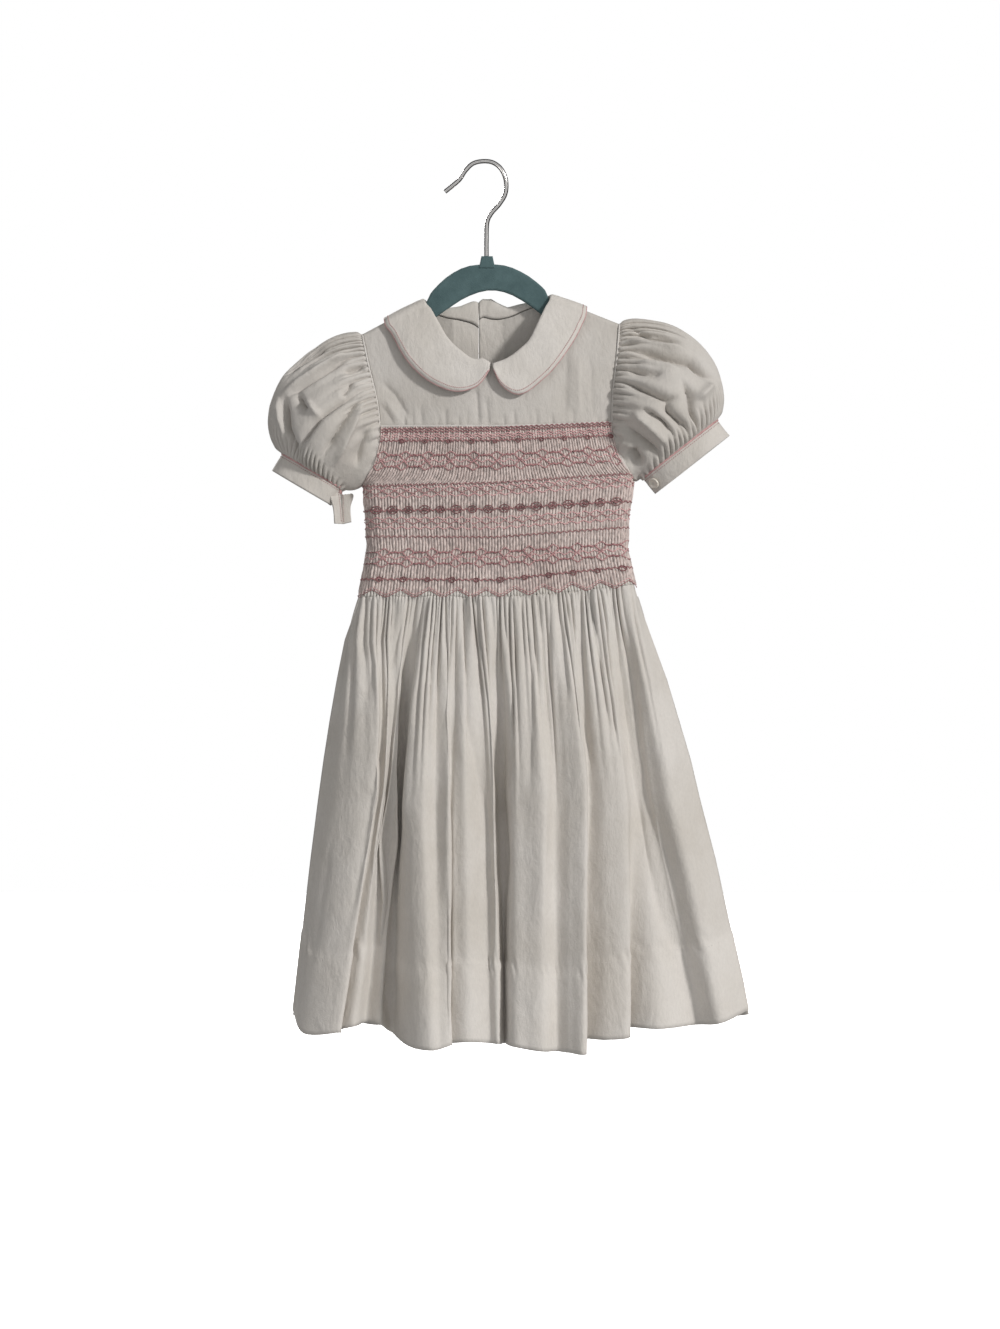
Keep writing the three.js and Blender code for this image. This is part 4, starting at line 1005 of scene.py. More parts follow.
@dataclass
class SmockedFront:
    """The smocked panel: narrow pleats held by rows of embroidery."""

    form: DressForm
    pleats: int = 92
    pleat_height: float = 2.2
    per_pleat: int = 6
    rows: int = 58
    thick: float = 0.7
    bands: int = 25  # down the panel, in which a pleat's height changes
    fan: float = 0.3
    crinkles: Crinkles = Crinkles(55, 0.5, 11)

    def __post_init__(self) -> None:
        """Makes the plain surface that the pleats stand on."""
        shares = np.linspace(0, 1, self.rows)
        cols = self.pleats * self.per_pleat
        self.base = Sheet(np.stack([self.form.across(v, cols) for v in shares]))

    def pleat_profile(self, u: Array) -> Array:
        """Height of the pleats at shares across, from 0 in a groove to 1 on top."""
        return np.abs(np.sin(np.pi * self.pleats * np.asarray(u))) ** 0.8

    def place(self, x: float, z: float) -> tuple[float, float]:
        """Shares across and down of a place seen at x and z."""
        v = (self.form.yoke_seam(x) - z) / (self.form.yoke_seam(x) - self.form.waist_seam(x))
        row = self.base.points[int(np.clip(round(v * (self.rows - 1)), 0, self.rows - 1)), :, 0]
        return float(np.interp(x, row, np.linspace(0, 1, len(row)))), float(v)

    def wave_turn(self, u: Array) -> Array:
        """Turns of the lowest row's wave at shares across, whole in its troughs."""
        return (self.pleats * u - 2) / PLEATS_TO_WAVE

    def wave_z(self, u: Array, x: Array) -> Array:
        """Height of the lowest row of stitches."""
        return seen_height(LOWEST_ROW, x) + 8 * PIXEL * zigzag(self.wave_turn(u))

    def build(self, finish: Wardrobe) -> Piece:
        """Makes and dresses the pleated cloth, which is plain below the lowest row of stitches."""
        rows, cols = self.base.points.shape[:2]
        u = np.linspace(0, 1, cols)[None].repeat(rows, 0)
        v = np.linspace(0, 1, rows)[:, None].repeat(cols, 1)
        number = np.floor(u * self.pleats)
        rng = np.random.default_rng(17)
        swells = rng.uniform(0.62, 1.12, (self.bands + 1, self.pleats + 1))
        at = v * self.bands
        low = np.minimum(at.astype(int), self.bands - 1)
        pleat = number.astype(int)
        swell = lerp(swells[low, pleat], swells[low + 1, pleat], ease(at - low))
        # Each pleat leans one way and then the other between the stitched rows.
        sway = np.sin(v * math.pi * 15 + 2 * swell) * (1 - 0.5 * np.sin(u * 9) ** 2)
        lean = 0.5 * np.where(number % 2 > 0, 1, -1) * sway
        height = self.pleat_height * swell * self.pleat_profile(u)
        height += self.crinkles.over(self.base.points)
        moved = self.base.raised(height)
        side = unit(np.gradient(moved.points, axis=1))
        below = self.wave_z(u, moved.points[..., 0]) - moved.points[..., 2]
        # Below the wave the pleats fan out from its troughs, but for those at the side seams.
        inside = np.clip(np.minimum(u, 1 - u) * 30, 0, 1)
        fanned = self.fan * np.clip(below, 0, 9) * np.sin(2 * math.pi * self.wave_turn(u)) * inside
        cloth = Sheet(moved.points + side * (lean * self.pleat_profile(u) + fanned)[..., None])
        piece = cloth.mesh("smocked_cloth", self.thick, 0.8)
        for material in (finish.smocked, finish.cotton):
            piece.data.materials.append(material)
        plain = np.tile((below > 0.4)[1:, 1:].ravel(), 2)
        chosen = np.zeros(len(piece.data.polygons), np.int32)
        chosen[: len(plain)] = plain
        piece.data.polygons.foreach_set("material_index", chosen)
        dressed(piece, finish.smocked, "smocked_cotton", "front_panel")
        return piece


class Pattern(Enum):
    """Kinds of embroidered rows."""

    CABLE = "cable"
    WAVE = "wave"
    TRELLIS = "trellis"
    BARS = "bars"
    LOOPS = "loops"


CABLE, WAVE, TRELLIS, BARS, LOOPS = Pattern


@dataclass(frozen=True)
class StitchRow:
    """A row of embroidery across the pleats, placed by the photograph's pixels."""

    pattern: Pattern
    thread: str
    heights: tuple[float, float, float]  # at the left edge, the middle and the right edge
    reach: float = 0.0  # height of a wave, length of a bar or width of a loop, in pixels
    period: float = 4.0  # pleats to a wave, or pixels from one bar or loop to the next
    start: float = 0.0  # pixel or pleat of the first one
    girth: float = 1.25


@dataclass
class Embroidery:
    """Rows of smocking stitches in four shades of thread, each strand laid from pleat to pleat."""

    panel: SmockedFront
    rows: tuple = (
        StitchRow(CABLE, "dark", (430.6, 429.6, 423.1), girth=1.1),
        StitchRow(CABLE, "dark", (433.2, 432.4, 425.6), girth=1.1),
        StitchRow(WAVE, "pale", (436.5, 436.0, 430.0), reach=2.6),
        StitchRow(WAVE, "pale", (439.0, 438.5, 432.5), reach=2.6),
        StitchRow(CABLE, "dark", (442.0, 442.0, 436.0)),
        StitchRow(LOOPS, "knot", (442.5, 443.0, 436.8), reach=4.8, period=23.0, start=403, girth=1.1),
        StitchRow(BARS, "dark", (456.5, 456.5, 450.0), reach=9.6, period=23.0, start=393.5, girth=1.7),
        StitchRow(BARS, "dark", (467.5, 468.0, 461.5), reach=9.6, period=23.0, start=393.5, girth=1.7),
        StitchRow(TRELLIS, "mid", (462.0, 462.3, 455.8), reach=5.6, period=23.0, start=405, girth=1.25),
        StitchRow(WAVE, "pale", (462.0, 462.3, 455.8), reach=3.0, girth=1.1),
        StitchRow(CABLE, "dark", (487.0, 484.0, 475.0), girth=0.95),
        StitchRow(WAVE, "pale", (490.5, 487.5, 479.0), reach=3.0),
        StitchRow(WAVE, "mid", (494.0, 491.5, 482.5), reach=3.2, start=2),
        StitchRow(WAVE, "pale", (498.0, 495.5, 486.5), reach=3.0),
        StitchRow(CABLE, "dark", (511.5, 510.2, 502.0)),
        StitchRow(LOOPS, "knot", (511.0, 510.0, 501.8), reach=9.8, period=15.8, start=378, girth=1.05),
        StitchRow(LOOPS, "knot", (511.0, 510.0, 501.8), reach=4.0, period=15.8, start=378, girth=0.95),
        StitchRow(WAVE, "pale", (519.5, 519.0, 510.5), reach=2.8),
        StitchRow(WAVE, "mid", (523.5, 523.5, 514.5), reach=3.2, start=2),
        StitchRow(WAVE, "pale", (528.5, 529.0, 519.5), reach=2.8),
        StitchRow(CABLE, "dark", (537.0, 538.0, 528.0), girth=0.95),
        StitchRow(BARS, "dark", (553.0, 553.0, 544.5), reach=9.8, period=24.0, start=396.0, girth=1.7),
        StitchRow(BARS, "dark", (564.0, 564.0, 555.5), reach=9.8, period=24.0, start=396.0, girth=1.7),
        StitchRow(TRELLIS, "mid", (558.5, 558.5, 550.0), reach=5.6, period=24.0, start=408, girth=1.25),
        StitchRow(WAVE, "pale", (558.5, 558.5, 550.0), reach=3.0, girth=1.1),
        StitchRow(CABLE, "dark", (579.5, 580.5, 567.5)),
        StitchRow(LOOPS, "knot", (579.5, 580.8, 568.5), reach=6.0, period=24.1, start=380, girth=1.15),
        StitchRow(WAVE, "dark", LOWEST_ROW, reach=8.0, period=9, start=-1.5, girth=1.15),
        StitchRow(WAVE, "pale", (591.6, 591.8, 582.2), reach=7.6, period=9, start=-1.5, girth=0.8),
    )

    lifts: tuple = (("dark", 0.45), ("mid", 0.4), ("pale", 0.3), ("knot", 0.8))  # above the pleats

    def pleat_tops(self, row: StitchRow) -> tuple[Array, Array]:
        """The share across of each pleat's top, and its x at the row's height."""
        u = (np.arange(self.panel.pleats) + 0.5) / self.panel.pleats
        middle = float(seen_height(row.heights, 0.0))
        v = self.panel.place(0.0, middle)[1]
        return u, self.panel.base.at(u, np.full(u.shape, v))[0][:, 0]

    def spans(self, row: StitchRow) -> list[Strand]:
        """The strands of a row, each from one place to another.

        Args:
            row: The row of embroidery.

        Returns:
            For each strand its two places, as share across and height z, and its girth.
        """
        u, x = self.pleat_tops(row)
        z = seen_height(row.heights, x)
        half = row.reach * PIXEL

        def step(k: int, rise: Array, girth: float) -> Strand:
            """A strand from the top of one pleat to the next, at heights over the row's own."""
            return (u[k], z[k] + rise[k], u[k + 1], z[k + 1] + rise[k + 1], girth)

        pleats = range(len(u) - 1)
        if row.pattern is CABLE:
            strands = []
            for k in pleats:
                up = 0.5 if k % 2 else -0.5
                strands.append(step(k, np.full(len(u), up), row.girth))
                strands.append((u[k], z[k] - up, u[k], z[k] + up, row.girth * 0.8))
            return strands
        if row.pattern is WAVE:
            rise = half * zigzag((np.arange(len(u)) + row.start) / row.period)
            return [step(k, rise, row.girth * 0.8) for k in pleats]
        if row.pattern is TRELLIS:
            phase = ((x / PIXEL + PIXEL_AT_ORIGIN[0] - row.start) / row.period + 0.5) % 1 - 0.5
            outer = lerp(1.75, 1.0, np.clip(np.abs(phase) / 0.24, 0, 1))
            crossed = np.clip(phase / 0.24, -1, 1)
            shapes = (outer, -outer, crossed, -crossed)
            # A strand that would jump from one diamond to the next is left out.
            near = [(k, shape) for shape in shapes for k in pleats if abs(shape[k + 1] - shape[k]) < 1.2]
            return [step(k, half * shape, row.girth) for k, shape in near]
        return self.spaced(row, u, x)

    def spaced(self, row: StitchRow, u: Array, x: Array) -> list[Strand]:
        """The strands of a row of bars or loops, at even steps of the photograph's pixels."""
        strands = []
        px = row.start
        number = 0
        while spot(px, 0)[0] < x[-1] - 1:
            middle = spot(px, 0)[0]
            z = float(seen_height(row.heights, middle))
            half = row.reach * PIXEL / 2
            if row.pattern is BARS:
                ends = np.interp([middle - half, middle + half], x, u)
                count = max(2, round((ends[1] - ends[0]) * self.panel.pleats))
                marks = np.linspace(ends[0], ends[1], count + 1)
                for k in range(count):
                    up = 0.3 if k % 2 else -0.3
                    strands.append((marks[k], z + up, marks[k + 1], z + up, row.girth))
            else:
                turns = np.linspace(0, 2 * math.pi, 9) + number * 0.7
                over = half * (1 + 0.12 * math.sin(number * 2.7))
                marks = np.interp(middle + over * np.cos(turns), x, u)
                rise = z + 0.78 * over * np.sin(turns)
                strands += [(marks[k], rise[k], marks[k + 1], rise[k + 1], row.girth) for k in range(8)]
            px += row.period
            number += 1
        return strands

    def build(self, finish: Wardrobe) -> list[Piece]:
        """Lays all rows, one piece for each shade of thread."""
        made = []
        for name, lift in self.lifts:
            thread = getattr(finish, name)
            strands = [s for row in self.rows if row.thread == name for s in self.spans(row)]
            a, b, girth = self.ends(strands, self.panel.pleat_height * 0.95 + lift)
            middle, along = (a[0] + b[0]) / 2, b[0] - a[0]
            length = np.linalg.norm(along, axis=1)
            size = np.stack([girth * 0.9, girth, length + girth * 0.25], -1)
            piece = Strands().lay(f"smocking_{name}_thread", middle, along, a[1] + b[1], size, thread)
            made.append(dressed(piece, thread, "smocked_cotton"))
        return made

    def ends(
        self, strands: Sequence[Strand], lift: float
    ) -> tuple[tuple[Array, Array], tuple[Array, Array], Array]:
        """Points and normals of both ends of strands, and their girths."""
        table = np.array(strands)
        form = self.panel.form
        shares = np.linspace(0, 1, self.panel.rows)
        found = []
        for u, z in ((table[:, 0], table[:, 1]), (table[:, 2], table[:, 3])):
            cols = np.clip(u * (self.panel.base.points.shape[1] - 1), 0, None).astype(int)
            x = self.panel.base.points[self.panel.rows // 2, cols, 0]
            v = (form.yoke_seam(x) - z) / (form.yoke_seam(x) - form.waist_seam(x))
            for _ in range(2):
                x = self.panel.base.at(u, np.clip(v, 0, shares[-1]))[0][:, 0]
                v = (form.yoke_seam(x) - z) / (form.yoke_seam(x) - form.waist_seam(x))
            point, normal = self.panel.base.at(u, np.clip(v, 0, 1), lift)
            point[:, 2] = z
            found.append((point, normal))
        return found[0], found[1], table[:, 4]


# The skirt


SKIRT_SIDES = (
    {"z": -337, "left": -97, "right": 118},
    {"z": -347, "left": -99.6, "right": 121.2},
    {"z": -381, "left": -112, "right": 133.6},
    {"z": -413, "left": -118.4, "right": 145.4},
    {"z": -445, "left": -124, "right": 155},
    {"z": -477, "left": -129, "right": 164.5},
    {"z": -509, "left": -133.4, "right": 172},
    {"z": -557, "left": -139.5, "right": 184.5},
    {"z": -605, "left": -145, "right": 195},
    {"z": -653, "left": -150.4, "right": 206},
    {"z": -680, "left": -153.4, "right": 211},
)
MID_SHARE = 0.47  # of the way down, where the folds' middle knots lie
# Each knot's share of the waist, then x and stand half way down, and x, stand and height at the hem.
FRONT_FOLDS = np.array(
    [
        [0, -133, 0, -153, 0, -677], [0.035, -116, 18, -143, 20, -694],
        [0.08, -87, 32, -116, 35, -692], [0.115, -85, 21, -118, 19, -692],
        [0.145, -80, 24, -104, 24, -688], [0.175, -76, 17, -95, 6, -686],
        [0.2, -73, 20, -83, 13, -688], [0.225, -70, 8, -73, 4, -696],
        [0.255, -63, 28, -59, 34, -703], [0.285, -50, 36, -44, 46, -705],
        [0.31, -39, 29, -35, 44, -704], [0.335, -29, 36, -27, 42, -701],
        [0.36, -27, 28, -28, 30, -701], [0.385, -15, 34, -13, 35, -699.5],
        [0.41, -1, 24, 3, 26, -701], [0.45, 8, 28, 11, 30, -701.5],
        [0.495, 14, 14, 16, 15, -702], [0.525, 21, 30, 22, 37, -702.5],
        [0.565, 32, 35, 34, 42, -704.5], [0.61, 46, 38, 46, 44, -706],
        [0.655, 56, 28, 57, 36, -706.5], [0.695, 68, 34, 68, 44, -707],
        [0.73, 81, 38, 79, 49, -707.5], [0.765, 83, 22, 75, 18, -699],
        [0.8, 97, 28, 97, 26, -698.5], [0.84, 114, 28, 114, 27, -696.5],
        [0.87, 120, 15, 111, 9, -690], [0.895, 127, 8, 139, 21, -690.5],
        [0.92, 134, 8, 169, 4, -688.5], [0.96, 149, 20, 188, 18, -686],
        [1, 172, 0, 211, 0, -677],
    ]
)


def down_skirt(waist: Array, mid: Array, hem: Array, v: Array) -> Array:
    """A smooth value at the waist, half way down and at the hem, for shares down."""
    upper = lerp(waist, mid, np.sin(np.clip(v / MID_SHARE, 0, 1) * math.pi / 2) ** 1.1)
    lower = lerp(mid, hem, (v - MID_SHARE) / (1 - MID_SHARE))
    return np.where(v < MID_SHARE, upper, lower)


def to_sides(knots: Array) -> Array:
    """Moves the knots of rows, most of all the outer ones, so that the ends lie on the side seams."""
    flip = knots[0, 0, 0] > knots[0, -1, 0]
    ends = [-1, 0] if flip else [0, -1]
    x = knots[..., 0].copy()
    wanted = [column(SKIRT_SIDES, side.value, knots[:, end, 2]) for side, end in zip(Side, ends)]
    left, right = ((there - x[:, end])[:, None] for there, end in zip(wanted, ends))
    middle = (x[:, ends[0]] + x[:, ends[1]]) / 2
    half = (x[:, ends[1]] - x[:, ends[0]]) / 2
    out = (x - middle[:, None]) / half[:, None]
    knots[..., 0] = x + out**2 * np.where(out < 0, left, right)
    return knots


def between(knots: Array, per_fold: int) -> tuple[Array, Array]:
    """Rows of points on the even Catmull-Rom curves through rows of knots.

    Args:
        knots: Rows of knots.
        per_fold: Steps from one knot to the next.

    Returns:
        The rows of points, and each point's place counted in knots.
    """
    folds = knots.shape[1] - 1
    at = np.linspace(0, folds, folds * per_fold + 1)
    i = np.minimum(at.astype(int), folds - 1)
    t = (at - i)[None, :, None]
    ends = np.concatenate([2 * knots[:, :1] - knots[:, 1:2], knots, 2 * knots[:, -1:] - knots[:, -2:-1]], 1)
    p0, p1, p2, p3 = (ends[:, i + k] for k in range(4))
    m1, m2 = (p2 - p0) / 2, (p3 - p1) / 2
    return cubic(p1, p2, m1, m2, t), at


@dataclass
class SkirtFront:
    """The front of the skirt, which falls from the smocking in folds."""

    form: DressForm
    panel: SmockedFront
    per_fold: int = 12
    rows: int = 112
    crinkles: Crinkles = Crinkles(46, 0.9, 21)
    creases: tuple = (
        Crease(
            -2.6, 3.0, ((393, 650), (388, 700), (383, 750), (372, 800), (365, 850), (357, 895), (342, 960))
        ),
        Crease(
            -5.0, 6.5, ((420, 600), (413, 650), (408, 700), (402, 760), (396, 800), (390, 850), (386, 920))
        ),
        Crease(-7.0, 4.5, ((400, 770), (392, 850), (387, 900), (388, 960), (394, 1060))),
        Crease(2.6, 4.5, ((428, 610), (418, 680), (410, 740), (405, 850))),
        Crease(-1.6, 2.4, ((449, 604), (450, 700), (453, 800))),
        Crease(2.2, 3.0, ((455, 740), (455, 850), (455, 1030))),
        Crease(-2.2, 3.0, ((448, 870), (448, 950), (449, 1040))),
        Crease(-4.0, 5.5, ((463, 604), (466, 700), (478, 760), (487, 820), (490, 900), (490, 980))),
        Crease(-5.0, 3.6, ((497, 604), (494, 700), (500, 780), (505, 850), (506, 940))),
        Crease(-3.2, 3.0, ((517, 600), (513, 700), (508, 800))),
        Crease(-3.2, 3.6, ((537, 604), (531, 700), (530, 800))),
        Crease(-2.4, 2.8, ((549, 600), (548, 700), (546, 760))),
        Crease(2.2, 3.0, ((546, 740), (543, 850), (541, 940))),
        Crease(-3.0, 3.0, ((576, 604), (579, 690), (592, 780))),
        Crease(-2.8, 3.0, ((598, 604), (601, 680), (611, 740))),
        Crease(-2.8, 3.0, ((608, 604), (617, 760))),
        Crease(-5.0, 6.0, ((615, 606), (622, 660), (632, 750), (647, 850), (660, 910), (680, 965))),
        Crease(3.4, 5.0, ((634, 640), (646, 740), (662, 850), (678, 920), (700, 1000))),
        Crease(-2.0, 4.0, ((655, 680), (672, 760))),
        Crease(-2.2, 3.0, ((437, 604), (432, 660), (430, 700))),
        Crease(-2.2, 3.0, ((478, 604), (480, 660), (484, 710))),
        Crease(-2.4, 2.6, ((562, 602), (564, 660), (568, 710))),
        Crease(-2.2, 2.6, ((407, 604), (396, 650), (390, 690))),
        Crease(-1.5, 2.6, ((390, 606), (376, 660), (366, 710))),
        Crease(-1.3, 5.0, ((335, 820), (322, 900), (312, 980))),
        Crease(1.4, 6.0, ((700, 780), (716, 880), (728, 960))),
    )

    def grid(self) -> tuple[Array, Array, Array]:
        """The folded cloth as a grid, with each column's share of the waist and each row's share down."""
        v = np.linspace(0, 1, self.rows) ** 1.18
        waist_line = self.form.across(1.0, 400)
        waist, mid_x, mid_out, hem_x, hem_out, hem_z = FRONT_FOLDS.T[:, None]
        start = waist_line[np.round(waist[0] * 400).astype(int)]
        down = v[:, None]
        x = down_skirt(start[None, :, 0], mid_x, hem_x, down)
        out = down_skirt(-start[None, :, 1], mid_out, hem_out, down)
        z = lerp(start[None, :, 2], hem_z, down)
        points, at = between(to_sides(np.stack([x, -out, z], -1)), self.per_fold)
        share = np.interp(at, np.arange(len(FRONT_FOLDS)), waist[0])
        exact = read_at(share, np.linspace(0, 1, 401), waist_line)
        points = lerp(exact[None], points, ease(down / 0.07)[..., None])
        points[..., 1] = np.minimum(points[..., 1], -SEAM_GAP)
        return points, share, v

    def gathers(self, share: Array, v: Array, at: Array) -> Array:
        """Heights of the pleats that the smocking lets go: many at the waist, and fewer further down."""
        down = v[:, None]
        rng = np.random.default_rng(5)
        tight = self.panel.pleat_height * self.panel.pleat_profile(share)[None] * (1 - ease(down / 0.05))
        wander = 0.9 * np.sin(share * 17 + 0.6) + 0.6 * np.sin(share * 41) + 0.35 * np.sin(share * 83 + 2)
        strength = 0.4 + 1.1 * np.interp(share, np.linspace(0, 1, 34), rng.uniform(0, 1, 34))
        reach = 0.09 + 0.22 * np.interp(share, np.linspace(0, 1, 40), rng.uniform(0, 1, 40))[None]
        waves = 2 * math.pi * self.panel.wave_turn(share)
        bunched = 1 - ease(down / 0.24)

        def pleated(count: float, swing: float, bunch: float) -> Array:
            """Heights of a number of uneven pleats, drawn to the troughs of the smocking's wave."""
            turn = (count * share + swing * wander)[None] + bunch * np.sin(waves) * bunched
            return np.abs(np.cos(np.pi * turn)) ** 0.8 - 0.6

        medium = pleated(47, 1.0, 0.55) * (1 - ease(down / reach)) * ease((down + 0.01) / 0.03) * 4.6
        medium = medium * lerp(1.0, 0.75 + 0.45 * np.cos(waves), bunched)
        broad = pleated(25, 1.3, 0.3) * (1 - ease(down / (reach + 0.28))) * ease(down / 0.05) * 5.0
        puffed = 2.6 * (np.abs(np.sin(waves / 2)) ** 1.2 - 0.5) * ease(down / 0.025) * (1 - ease(down / 0.18))
        rim = np.minimum(1, np.minimum(at, at[-1] - at) / 1.2)[None]
        return (tight + puffed + (medium + broad) * strength[None]) * rim

    def build(self, finish: Wardrobe) -> list[Piece]:
        """Makes and dresses the skirt's front and its hem stitches."""
        points, share, v = self.grid()
        at = np.arange(points.shape[1]) / self.per_fold
        cloth = Sheet(points)
        down = v[:, None]
        height = self.gathers(share, v, at) + creased(points, cloth.normals, self.creases) * ease(down / 0.03)
        inside = np.minimum(1, np.minimum(at, at[-1] - at))[None]
        height = height * inside + self.crinkles.over(points) * ease(down / 0.2) * inside
        cloth = cloth.raised(height)
        cloth.points[..., 1] = np.minimum(cloth.points[..., 1], -0.4)
        piece, stitches = hemmed("skirt_front", cloth, share * 560, 0.8, (0.6, 0.86), "front_panel", finish)
        return [piece, stitches]


def hem_puckers(over: Array, above: Array, level: float) -> Array:
    """Heights of the short puckers that a hem's stitches pull up.

    Args:
        over: Distance across the flat cloth of each column, in millimetres.
        above: Height above the edge of each point of the cloth.
        level: Height of the hem's stitches.

    Returns:
        A height for each point.
    """
    slant = over[None] + 0.45 * (above - level)
    waves = np.sin(slant * 0.62 + 2.2 * np.sin(over * 0.05)[None]) * (0.6 + 0.4 * np.sin(over * 0.11)[None])
    heights = np.random.default_rng(12).uniform(0, 1.2, 61) ** 2
    uneven = np.interp(over, np.linspace(0, over.max(), 61), heights)
    return uneven[None] * waves * np.exp(-(((above - level) / 7) ** 2))


def hem_stitches(name: str, cloth: Sheet, above: Array, level: float, thread: Material) -> Piece:
    """A row of small stitches along a skirt at one height above its edge.

    Args:
        name: Name of the piece.
        cloth: The skirt.
        above: Height above the edge of each of its points.
        level: Height of the row.
        thread: Finish of the thread.

    Returns:
        The stitches as one piece.
    """
    shares = np.linspace(0, 1, len(above))
    v = np.array([np.interp(-level, -one, shares) for one in above.T])
    line, out = cloth.at(np.linspace(0, 1, above.shape[1]), v, 0.42)
    run = run_along(line)
    marks = np.arange(2.0, run[-1] - 2, 3.4)
    along = read_at(marks + 0.8, run, line) - read_at(marks - 0.8, run, line)
    sizes = np.tile([0.3, 0.4, 1.7], (len(marks), 1))
    piece = Strands(sides=5, rings=4).lay(
        name, read_at(marks, run, line), along, read_at(marks, run, out), sizes, thread
    )
    return dressed(piece, thread, "cotton")


def hemmed(
    name: str, cloth: Sheet, over: Array, step: float, layers: Sequence[float], node: str, finish: Wardrobe
) -> tuple[Piece, Piece]:
    """Turns up the hem of the skirt's front or back, and makes and dresses it.

    Args:
        name: Name of the skirt's half.
        cloth: Its cloth.
        over: Distance across the flat cloth of each column, in millimetres.
        step: How far the doubled cloth stands out.
        layers: How much a second layer lightens the cloth above the hem and on it.
        node: CAD node that it replaces.
        finish: All finishes.

    Returns:
        The cloth and its hem stitches.
    """
    run = cloth.run(0)
    above = run[-1][None] - run
    folded = ease((HEM_DEPTH - above) / 1.5 + 0.5)
    cloth = cloth.raised(step * folded + hem_puckers(over, above, HEM_DEPTH))
    piece = cloth.mesh(f"{name}_cloth", 0.8, lerp(*layers, folded))
    dressed(piece, finish.cotton, "cotton", node)
    return piece, hem_stitches(f"{name}_hem_stitches", cloth, above, HEM_DEPTH - 2.5, finish.seam)


@dataclass
class SkirtBack:
    """The gathered back of the skirt."""

    form: DressForm
    gathers: int = 24
    folds: int = 8
    hem_out: float = 27.0
    fold_depth: float = 11.0
    per_fold: int = 12
    rows: int = 80
    crinkles: Crinkles = Crinkles(46, 0.9, 31)

    def hem(self, x: Array) -> Array:
        """Height of the hem above x."""
        return self.form.hem_z + np.where(x > 25, 16, 17) * ((x - 25) / 185) ** 2

    def build(self, finish: Wardrobe) -> list[Piece]:
        """Makes and dresses the skirt's back and its hem stitches."""
        form = self.form
        v = np.linspace(0, 1, self.rows)[:, None] ** 1.15
        left, right = (form.edge_at(side, form.waist_z) for side in Side)
        share = np.linspace(0, 1, self.gathers + 1)[None]
        ends = [down_skirt(w, f[1], f[3], v) for w, f in ((right, FRONT_FOLDS[-1]), (left, FRONT_FOLDS[0]))]
        across = lerp(0.5 - np.cos(np.pi * share) / 2, share, ease(v / 0.3))
        wander = 0.012 * np.sin(share * 21) * ease(v) * np.sin(np.pi * share)
        x = lerp(ends[0], ends[1], across + wander)
        waist_out = form.stand_off(lerp(right, left, across), np.array(form.waist_z), 1)
        rounded = np.minimum(1, np.minimum(5 * share, 5 * (1 - share))) ** 0.5
        fold = self.fold_depth * np.cos(2 * np.pi * (self.folds * share + 0.2 * np.sin(share * 13)))
        y = lerp(waist_out, rounded * (self.hem_out + fold), ease(v / 0.9))
        z = lerp(form.waist_z, self.hem(x), v)
        points, at = between(to_sides(np.stack([x, y, z], -1)), self.per_fold)
        points[..., 1] = np.maximum(points[..., 1], SEAM_GAP)
        cloth = Sheet(points)
        inside = np.minimum(1, np.minimum(at, at[-1] - at))[None]
        ripple = np.cos(2 * np.pi * at + np.sin(at * 0.7))[None] * (1 - ease(v / 0.55)) * 2.2
        fine = np.cos(2 * np.pi * 2.6 * at + 2 * np.sin(at))[None] * (1 - ease(v / 0.16)) * 0.9
        height = (ripple + fine) * inside + self.crinkles.over(points) * ease(v / 0.2) * inside
        cloth = cloth.raised(height)
        cloth.points[..., 1] = np.maximum(cloth.points[..., 1], 0.4)
        piece, stitches = hemmed("skirt_back", cloth, at * 18, 0.45, (0.68, 0.9), "skirt_back", finish)
        return [piece, stitches]


